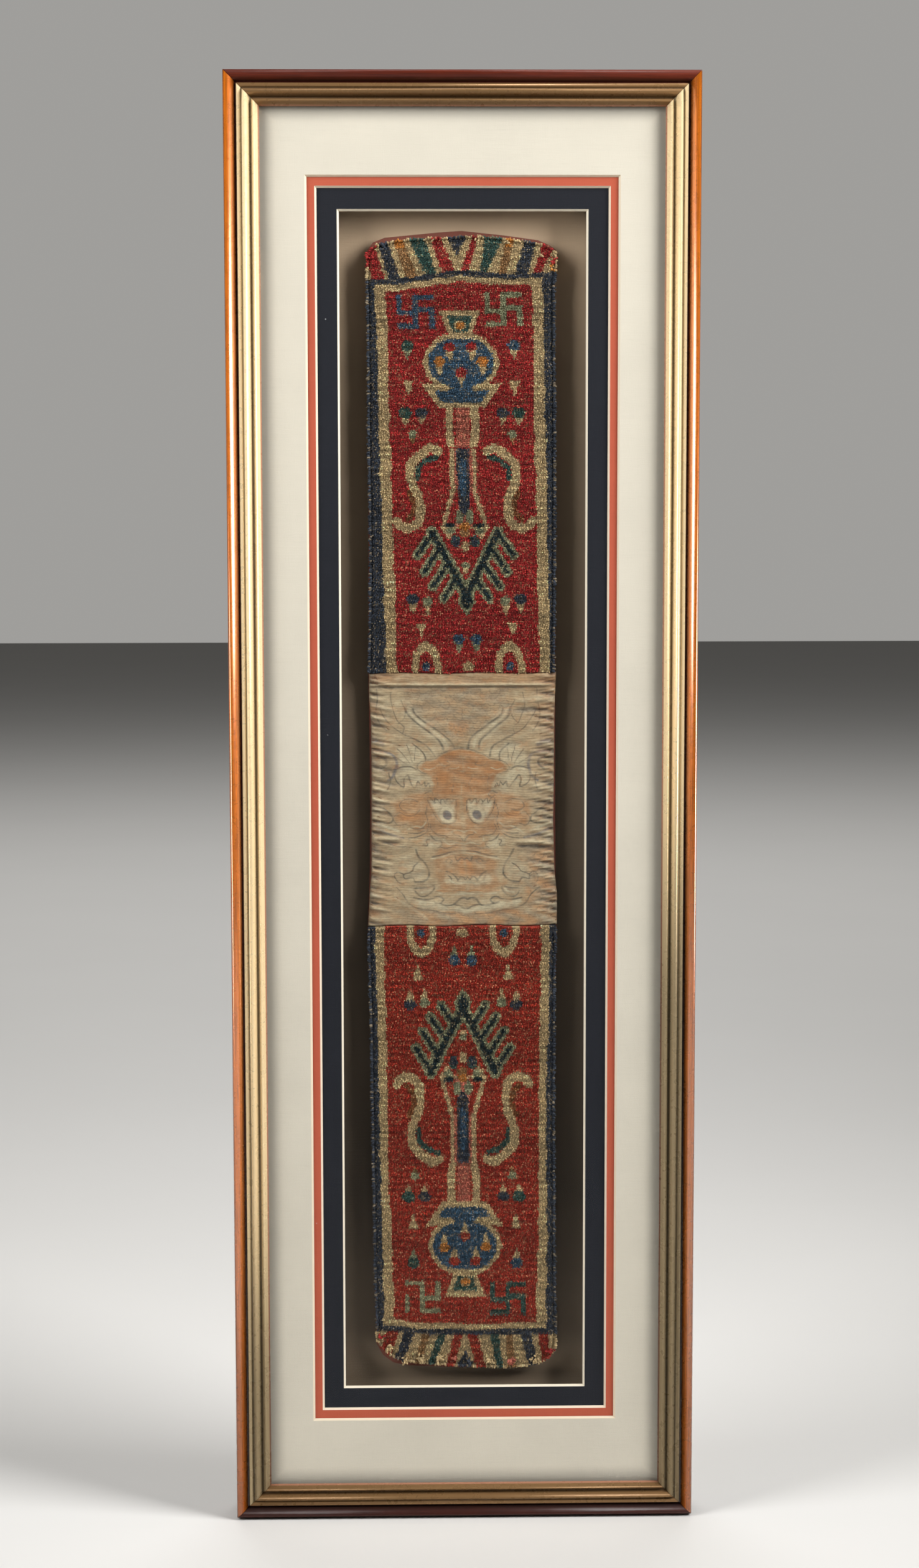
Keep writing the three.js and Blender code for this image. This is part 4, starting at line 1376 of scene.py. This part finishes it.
# Broad colours of the face in half: colour, strength, softness of the edge and corners
FACE_PATCHES = (
    ("pale", 0.5, 3, ((41, 84), (34, 84), (5, 52), (10, 46), (30, 60), (43, 74))),
    ("pale", 0.75, 4, ((22, 42), (38, 56), (52, 50), (52, 33), (53, 20), (30, 16), (29, 26), (36, 34))),
    ("orange", 0.5, 3, ((-1, 71), (9, 70), (10, 63), (3, 57), (-1, 56))),
    ("rust", 0.95, 1.6, ((-1, 48.8), (7.8, 47), (16.5, 43.6), (21.4, 40.2), (29.2, 38.8), (35, 34),
        (33, 30), (27, 27), (23, 20), (24, 12), (-1, 10))),
    ("rust", 0.7, 4, ((-1, 13), (30, 16), (46, 13), (55, 6), (57, -4), (50, -16), (44, -13), (30, -24),
        (20, -21), (14, -25), (-1, -27))),
    ("orange", 0.5, 4, ((31, 0), (40, 3), (50, 0), (50, -10), (42, -11), (33, -9))),
    ("rust", 0.6, 4, ((-1, -25), (18, -24), (24, -35), (27, -40), (26, -58), (22, -66), (-1, -66))),
    ("pale", 0.35, 3, ((18, -40), (8, -38), (8, -48), (17, -48))),
    ("orange", 0.6, 2.5, ((-1, -38), (6, -38), (7.5, -52), (-1, -52))),
    ("pale", 0.9, 2, ((27, 8), (14, 9.4), (4.4, 8), (4.6, -4), (7, -10), (12, -12), (17, -10),
        (22, -3))),
    ("pale", 0.6, 2.5, ((31, -19), (20, -20), (15, -30), (25, -32), (33, -28))),
    ("pale", 0.6, 2, ((17, -49), (8, -52), (-1, -53), (-1, -60), (17, -60), (20, -55))),
    ("pale", 0.45, 3, ((36, -38), (30, -46), (32, -54), (44, -58), (56, -50), (50, -40))),
    ("pale", 0.8, 2, ((42, -70), (22, -72), (8, -75), (-1, -77), (-1, -82), (18, -81), (40, -77))),
    ("grey", 0.6, 2, ((41, -63), (27, -60), (28, -66), (36, -68))),
)


def smooth_line(points):
    """The points of a stroke with more between them, on a smooth curve."""
    knots = np.array([points[0], *points, points[-1]], float)
    t = np.linspace(0, 1, 5)[:-1, None]
    runs = []
    for a, b, c, d in zip(knots, knots[1:], knots[2:], knots[3:]):
        bend = 2 * b + (c - a) * t + (2 * a - 5 * b + 4 * c - d) * t**2 + (3 * b - a - 3 * c + d) * t**3
        runs.append(bend / 2)
    return [tuple(point) for point in np.vstack([*runs, knots[-1:]])]


class Dye:
    """Silk colours at places in millimetres, tinted one over another."""

    def __init__(self, x, z, ground):
        self.x, self.z = x, z
        self.off = np.abs(x - np.interp(z, FACE_HEIGHTS, FACE_MIDDLES) + 0.7 * np.sin(z / 7.7 + x / 40))
        self.off += 0.5 * np.sin(z / 3.1 + x / 5)
        worn = np.sin(x / 3.1 + 1.3 * np.sin(z / 3.7)) + np.sin(z / 2.3 - x / 4.1 + np.sin(x / 9))
        self.wear = np.clip(0.85 + 0.22 * worn, 0.45, 1)
        self.shade = np.tile(np.array(ground), (len(x), 1))

    def tint(self, strength, shade):
        self.shade += np.asarray(strength)[:, None] * (np.array(shade) - self.shade)

    def patch(self, shade, strength, soft, corners):
        inside = within(self.off, self.z, corners)
        rim = off_line(self.off, self.z, [*corners, corners[0]])
        self.tint(inside * rising(rim, 0, soft) * strength * (0.4 + 0.6 * self.wear), shade)

    def line(self, shade, width, points, strength):
        path = smooth_line(points)
        low, high = np.min(path, axis=0) - width, np.max(path, axis=0) + width
        near = (self.off > low[0]) & (self.off < high[0]) & (self.z > low[1]) & (self.z < high[1])
        away = np.full(len(self.off), np.inf)
        away[near] = off_line(self.off[near], self.z[near], path)
        core = np.clip(1.4 - away / (0.55 * width), 0, 1)
        self.tint(core * min(1, 2.1 * strength) * self.wear, shade)

    def scales(self, shade, region, wide, tall, strength):
        """Rows of overlapping round scales where region is above 0."""
        x = self.x + 1.9 * np.sin(self.z / 6.1) + 1.1 * np.sin(self.x / 7 + self.z / 13)
        row = (self.z + 1.6 * np.sin(self.x / 8.3) + 0.8 * np.sin(self.x / 2.9)) / tall
        level = np.floor(row)
        across = np.mod(x / wide + 0.5 * np.mod(level, 2) + 0.17 * np.sin(level * 2.4), 1) - 0.5
        curve = 1 - np.sqrt(np.clip(1 - 4 * across * across, 0, 1))
        away = np.abs(row - level - curve) * tall
        self.tint(np.clip(1.3 - away / 0.6, 0, 1) * region * strength * self.wear, shade)


def dye_ground(look, dye, x, z):
    """Clouds, stains, and the scaly crown and waves above and below the face."""
    cloud = 0.5 + 0.5 * np.sin(x / 11 + 1.4 * np.sin(z / 13)) * np.cos(z / 9 + x / 25)
    dye.tint(0.3 * cloud, look.pale)
    stain = np.clip(np.sin(x / 15 - z / 31) * np.sin(z / 12 + 1.5 * np.sin(x / 21)), 0, 1)
    dye.tint(0.25 * stain, scaled(look.silk, 0.62))
    crown = rising(z - 0.55 * dye.off, 50, 6) * rising(z, 98, -4) * rising(dye.off, 44, -5)
    tinge = 0.5 + 0.5 * np.sin(x / 4 + 2.2 * np.sin(z / 3.3))
    dye.tint(0.5 * crown * tinge, look.grey)
    dye.tint(0.2 * crown * (1 - tinge), look.rust)
    waves = rising(z, -77, -4) * np.maximum(rising(x, -46, 12), 0.25)
    foot = np.maximum(waves, rising(x, 47, 6) * rising(z, -27, -6))
    dye.tint(0.5 * foot * tinge, look.grey)
    dye.tint(0.5 * foot * (1 - tinge), look.orange)
    return crown, foot


def dye_face(look, dye, z, crown, foot):
    """The face's broad colours, its scales and lines, and its eyes."""
    for name, strength, soft, corners in FACE_PATCHES:
        dye.patch(getattr(look, name), strength, soft, corners)
    dye.scales(look.line, crown, 6.6, 4.6, 0.6)
    dye.scales(look.line, foot, 8, 6, 0.6)
    for name, width, strength, points in FACE_LINES:
        dye.line(getattr(look, name), width, points, strength)
    eye = np.hypot(dye.off - EYE[0], z - EYE[1])
    dye.tint(rising(abs(eye - 6.9), 0.6, -0.5) * 0.3 * dye.wear, look.line)
    dye.tint(rising(eye, 6.4, -1.6) * 0.6, scaled(look.pale, 1.1))
    dye.tint(rising(eye, 4.7, -0.8) * 0.3, look.silk)
    dye.tint(rising(eye, 4.1, -0.7) * 0.95, look.eye)


def dye_edges(look, dye, x, z, left, right):
    """Side marks, a stained corner, painted shade and highlights on creases, a painted shadow at the left
    edge, a bleached streak.
    """
    edge = rising(np.minimum(x - left, right - x), 13, -13)
    marks = np.clip(np.sin(z / 2.7 + x / 6 + 1.5 * np.sin(z / 11)) - 0.35, 0, 1)
    dye.tint(edge * marks * 0.7, look.eye)
    dye.tint(edge * np.clip(np.sin(z / 5.1 + x / 9) - 0.5, 0, 1) * 0.9, look.orange)
    dye.tint(0.4 * rising(right - x, 26, -26) * rising(z, 40, 30), look.orange)
    rise = panel_rise(x, z, left, right)
    # Painted shade in the creases' hollows and painted highlights on their ridges
    dye.tint(np.clip(-0.15 - rise, 0, 1.8) * 0.42, scaled(look.eye, 0.45))
    dye.tint(np.clip(rise - 0.25, 0, 1.8) * 0.28, scaled(look.pale, 1.25))
    dye.tint(0.35 * rising(abs(z - 96.4), 1.1, -1.1), scaled(look.silk, 0.45))
    # A painted shadow along the left edge
    dye.tint(0.55 * rising(x - left, 1.8, -1.8), scaled(look.rust, 0.4))
    streak = rising(abs(0.56 * (x + 52) + 0.83 * (z + 70)), 1.6, -1.6)
    dye.tint(0.5 * streak * (x > -54) * (x < -28), look.pale)
    dye.tint(0.4 * rising(z, 98.5, 2), scaled(look.rust, 0.85))


def silk_shades(look, x, z, left, right):
    """The painted colours of the panel."""
    dye = Dye(x, z, look.silk)
    crown, foot = dye_ground(look, dye, x, z)
    dye_face(look, dye, z, crown, foot)
    dye_edges(look, dye, x, z, left, right)
    return np.clip(dye.shade, 0, 1)


def side_edges(places):
    """The left and right edges of a cloth, as functions of height, from its vertex places."""
    rows = np.round(places[:, 2] / 3).astype(int)
    keys = np.unique(rows)
    left = np.array([places[rows == k, 0].min() for k in keys])
    right = np.array([places[rows == k, 0].max() for k in keys])
    heights = keys * 3.0
    return lambda z: (np.interp(z, heights, left), np.interp(z, heights, right))


def run_of(edge):
    """How far an edge goes across and up."""
    run = edge.verts[1].co - edge.verts[0].co
    return abs(run.x), abs(run.z)


def merge_diagonals(shape):
    """Turns a cloth's front from triangles back to the quads that it was drawn with."""
    runs = [(edge, *run_of(edge)) for edge in shape.edges]
    diagonals = [edge for edge, across, up in runs if across > 0.5 * MM and up > 1.5 * MM]
    bmesh.ops.dissolve_edges(shape, edges=diagonals, use_verts=False)


def add_silk(look, finish):
    """The panel's front at the fineness of its drawing, creased, painted and closed."""
    shape = cad_copy("brocade_panel")
    open_back(shape)
    merge_diagonals(shape)
    level = [e for e in shape.edges if run_of(e)[0] > run_of(e)[1]]
    bmesh.ops.subdivide_edges(shape, edges=level, cuts=10)
    upright = [e for e in shape.edges if run_of(e)[1] > 2 * MM]
    bmesh.ops.subdivide_edges(shape, edges=upright, cuts=6)
    smooth_heights(shape, 14)
    close_back(shape)
    mesh = bpy.data.meshes.new("silk")
    shape.to_mesh(mesh)
    shape.free()
    places = coordinates(mesh)
    x, z = places[:, 0], places[:, 2]
    left, right = side_edges(places)(z)
    free = rising(np.minimum(x - left, right - x), 0, 2.5)
    free *= rising(z, z.max() - 0.8, -2) * rising(z, z.min() + 0.8, 2)
    places[:, 1] -= free * panel_rise(x, z, left, right) * look.wrinkle / MM
    mesh.vertices.foreach_set("co", (places * MM).ravel())
    paint_vertices(mesh, "silk", silk_shades(look, x, z, left, right))
    mesh.shade_smooth()
    return add_piece("silk_panel", mesh, finish)


# Stitches: how far in from the edge their middle is, their lengths, and the threads of the tied corner
STITCH_INSET, STITCH_LENGTHS = 1.7, (2.4, 3.6)
TIE = {"threads": 14, "across": (-70, -66.5), "up": (99, 105), "lengths": (3, 6)}


def stitch_rows(look, rng):
    """Place, climb and length of each stitch on the long edges, and of the ties at the upper left."""
    places = coordinates(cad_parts["brocade_panel"].data)
    edges = side_edges(places)
    rows = []
    for z in np.arange(places[:, 2].min() + 4, places[:, 2].max() - 3, look.stitch_step / MM):
        z = z + rng.uniform(-1, 1)
        left, right = edges(z)
        for x, lean in ((left + STITCH_INSET, -0.5), (right - STITCH_INSET, 0.5)):
            rows.append((x, z, lean + rng.uniform(-0.3, 0.3), rng.uniform(*STITCH_LENGTHS)))
    for _ in range(TIE["threads"]):
        place = rng.uniform(*TIE["across"]), rng.uniform(*TIE["up"])
        rows.append((*place, rng.normal(0, 1.2), rng.uniform(*TIE["lengths"])))
    return rows


def add_stitches(look, finish):
    """The sewing thread over both long edges of the panel, and the tied corner at the upper left."""
    tree = cad_tree("brocade_panel")
    centres, directions, lengths = [], [], []
    for x, z, climb, long in stitch_rows(look, np.random.default_rng(SEED + 40)):
        hit = surface_at(tree, x * MM, z * MM)
        if hit:
            centres.append(hit[0][:])
            directions.append((1.0, -0.12, climb))
            lengths.append(long * MM)
    shape = bead_template(8, 6)
    thick = np.full(len(centres), look.stitch)
    placed = frames_along(np.array(directions), np.zeros(len(centres)))
    mesh = replicate(shape, np.array(centres), placed, np.column_stack([thick, thick, lengths]))
    shape.free()
    mesh.shade_smooth()
    return add_piece("side_stitches", mesh, finish)


# Operators


def finish_nodes(names, made):
    """Gives CAD nodes a new finish."""
    for name in names:
        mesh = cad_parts[name].data
        mesh.materials.clear()
        mesh.materials.append(made)


class FinishMoulding(bpy.types.Operator):
    """Gilds and lacquers the four rails"""

    bl_idname = "brocade_panel.moulding"
    bl_label = "Finish the moulding"

    def execute(self, context):
        finish = moulding_finish(context.scene.panel_moulding)
        for side in ("bottom", "left", "top", "right"):
            rail = add_piece(f"moulding_{side}", rounded_copy(f"rail_{side}"), finish)
            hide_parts(f"rail_{side}")
        return {"FINISHED"}


class FinishPane(bpy.types.Operator):
    """Glazes the frame"""

    bl_idname = "brocade_panel.pane"
    bl_label = "Finish the pane"

    def execute(self, context):
        finish_nodes(["glazing"], pane_finish())
        return {"FINISHED"}


class FinishMats(bpy.types.Operator):
    """Covers the three window mats and bares their bevels"""

    bl_idname = "brocade_panel.mats"
    bl_label = "Finish the mats"

    def execute(self, context):
        look = context.scene.panel_mats
        for name, covered in (("cream", True), ("coral", False), ("navy", False)):
            node = f"mat_{name}"
            half_width, half_length = WINDOWS[name]
            made = mat_finish(
                f"{name.title()} mat",
                getattr(look, name),
                getattr(look, name + "_core"),
                half_width * MM,
                half_length * MM,
                covered,
            )
            finish_nodes([node], made)
        return {"FINISHED"}


class FinishBacking(bpy.types.Operator):
    """Finishes the silk backing, the foam spacers and the board that closes the back"""

    bl_idname = "brocade_panel.backing"
    bl_label = "Finish the backing"

    def execute(self, context):
        look = context.scene.panel_mats
        finish_nodes(["silk_backing"], backing_finish(look))
        foam = plain_finish("Foam board", look.foam, 600.0, 0.2, 0.9, 0.1 * MM, 0.94)
        finish_nodes(["box_spacer", "textile_block"], foam)
        finish_nodes(["back_board"], plain_finish("Hardboard", look.board, 900.0, 0.4, 0.85, 0.1 * MM))
        return {"FINISHED"}


class MakeLining(bpy.types.Operator):
    """Makes the wool cloth behind the textile"""

    bl_idname = "brocade_panel.lining"
    bl_label = "Make the lining"

    def execute(self, context):
        look = context.scene.panel_pile
        shape = cloth_front("lining_cloth", 5, 2)
        close_back(shape)
        made = plain_finish("Red brown wool cloth", look.lining, 900.0, 1.2, 0.95, 0.3 * MM, 0.65)
        lining = add_piece("lining", shape, made)
        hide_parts("lining_cloth")
        return {"FINISHED"}


class MakePile(bpy.types.Operator):
    """Knots the two pile strips"""

    bl_idname = "brocade_panel.pile"
    bl_label = "Make the pile"

    def execute(self, context):
        look = context.scene.panel_pile
        finish = wool_finish("Knotted wool pile", "yarn")
        for strip, long in (("upper", 0.334), ("lower", 0.356)):
            ground = add_ground(look, strip, finish)
            tufts = add_tufts(look, strip, finish)
            ends = add_ends(look, strip, finish)
            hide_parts(f"pile_strip_{strip}")
        return {"FINISHED"}


class MakeSilk(bpy.types.Operator):
    """Lays the silk brocade over the middle of the textile"""

    bl_idname = "brocade_panel.silk"
    bl_label = "Make the silk panel"

    def execute(self, context):
        look = context.scene.panel_brocade
        silk = add_silk(look, brocade_finish(look))
        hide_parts("brocade_panel")
        thread = plain_finish("Sewing thread", look.thread, 3000.0, 1.0, 0.8, 0.1 * MM, 0.6)
        stitches = add_stitches(look, thread)
        return {"FINISHED"}


class MakeStage(bpy.types.Operator):
    """Sets the camera, the pale floor and the studio lights"""

    bl_idname = "brocade_panel.stage"
    bl_label = "Set the stage"

    def execute(self, context):
        look = context.scene.panel_stage
        add_camera(look)
        add_floor(look)
        add_light("Left light", (-1.5, -0.8, 1.1), (0, 0, 0.4), (0.9, 1.6), look.left, 90)
        add_light("Right light", (1.5, -0.72, 1.2), (0, 0, 0.4), (0.9, 1.5), look.right, 90)
        add_light("Back light", (0, 3.4, 3.0), (0, 2.2, -0.6), (4.0, 2.5), look.behind)
        context.scene.world = studio_world(look)
        context.scene.view_settings.view_transform = "Standard"
        return {"FINISHED"}


def add_camera(look):
    """The camera where the photograph was taken from."""
    data = bpy.data.cameras.new("Camera")
    data.lens = look.lens
    data.sensor_width = 36.0
    data.clip_end = 50.0
    camera = bpy.data.objects.new("Camera", data)
    bpy.context.scene.collection.objects.link(camera)
    turned = Matrix(CAMERA_AXES).transposed().to_4x4()
    camera.matrix_world = Matrix.Translation(CAMERA_PLACE) @ turned
    bpy.context.scene.camera = camera


def add_floor(look):
    """A wide pale floor just under the frame."""
    shape = bmesh.new()
    bmesh.ops.create_grid(shape, x_segments=1, y_segments=1, size=12.0)
    bmesh.ops.translate(shape, verts=shape.verts, vec=(0, 0, CAD_BOX[0][2] - 1.5 * MM))
    mesh = bpy.data.meshes.new("floor")
    shape.to_mesh(mesh)
    shape.free()
    made, tree, shader = material("Pale floor", Roughness=0.85)
    mottle = use_group(tree, "Mottle", Vector=own_coordinates(tree), Scale=3.0, Amount=0.04)
    feed(tree, shader, Base_Color=tinted(tree, look.floor, mottle["Shade"]))
    mesh.materials.append(made)
    floor = bpy.data.objects.new("floor", mesh)
    bpy.context.scene.collection.objects.link(floor)


def add_light(name, place, aim, size, power, spread=180):
    """A soft rectangular light that faces a point."""
    data = bpy.data.lights.new(name, "AREA")
    data.shape = "RECTANGLE"
    data.size, data.size_y = size
    data.energy = power
    data.spread = math.radians(spread)
    light = bpy.data.objects.new(name, data)
    bpy.context.scene.collection.objects.link(light)
    light.location = place
    facing = Vector(aim) - Vector(place)
    light.rotation_euler = facing.to_track_quat("-Z", "Y").to_euler()


def studio_world(look):
    """Pale surroundings, brighter behind the frame than in front of it."""
    world = bpy.data.worlds.new("Studio")
    world.use_nodes = True
    tree = world.node_tree
    background = tree.nodes["Background"]
    background.inputs["Color"].default_value = opaque(look.floor)
    backwards = axes_of(tree, put_node(tree, "TexCoord").outputs["Generated"])[1]
    strength = remap(tree, backwards, 0.5, 0.85, look.sky, look.backdrop)
    tree.links.new(strength, background.inputs["Strength"])
    return world


class SidePanel(bpy.types.Panel):
    """Lists the steps that make the framed panel"""

    bl_idname = "VIEW3D_PT_brocade_panel"
    bl_label = "Brocade panel"
    bl_space_type = "VIEW_3D"
    bl_region_type = "UI"
    bl_category = "Brocade panel"

    def draw(self, context):
        for step in STEPS:
            self.layout.operator(step.bl_idname)


SETTINGS = {
    "panel_moulding": MouldingSettings,
    "panel_mats": MatSettings,
    "panel_pile": PileSettings,
    "panel_brocade": BrocadeSettings,
    "panel_stage": StageSettings,
}
STEPS = (
    MakeStage,
    FinishMoulding,
    FinishPane,
    FinishMats,
    FinishBacking,
    MakeLining,
    MakePile,
    MakeSilk,
)


def register():
    for item in (*SETTINGS.values(), *STEPS, SidePanel):
        bpy.utils.register_class(item)
    for name, settings in SETTINGS.items():
        setattr(bpy.types.Scene, name, PointerProperty(type=settings))


def unregister():
    for name in SETTINGS:
        delattr(bpy.types.Scene, name)
    for item in reversed((*SETTINGS.values(), *STEPS, SidePanel)):
        bpy.utils.unregister_class(item)


def main():
    """Makes everything."""
    register()
    for step in STEPS:
        made = getattr(bpy.ops.brocade_panel, step.bl_idname.split(".")[1])()
        if made != {"FINISHED"}:
            raise RuntimeError(f"{step.bl_label} didn't finish")


if __name__ == "__main__":
    main()
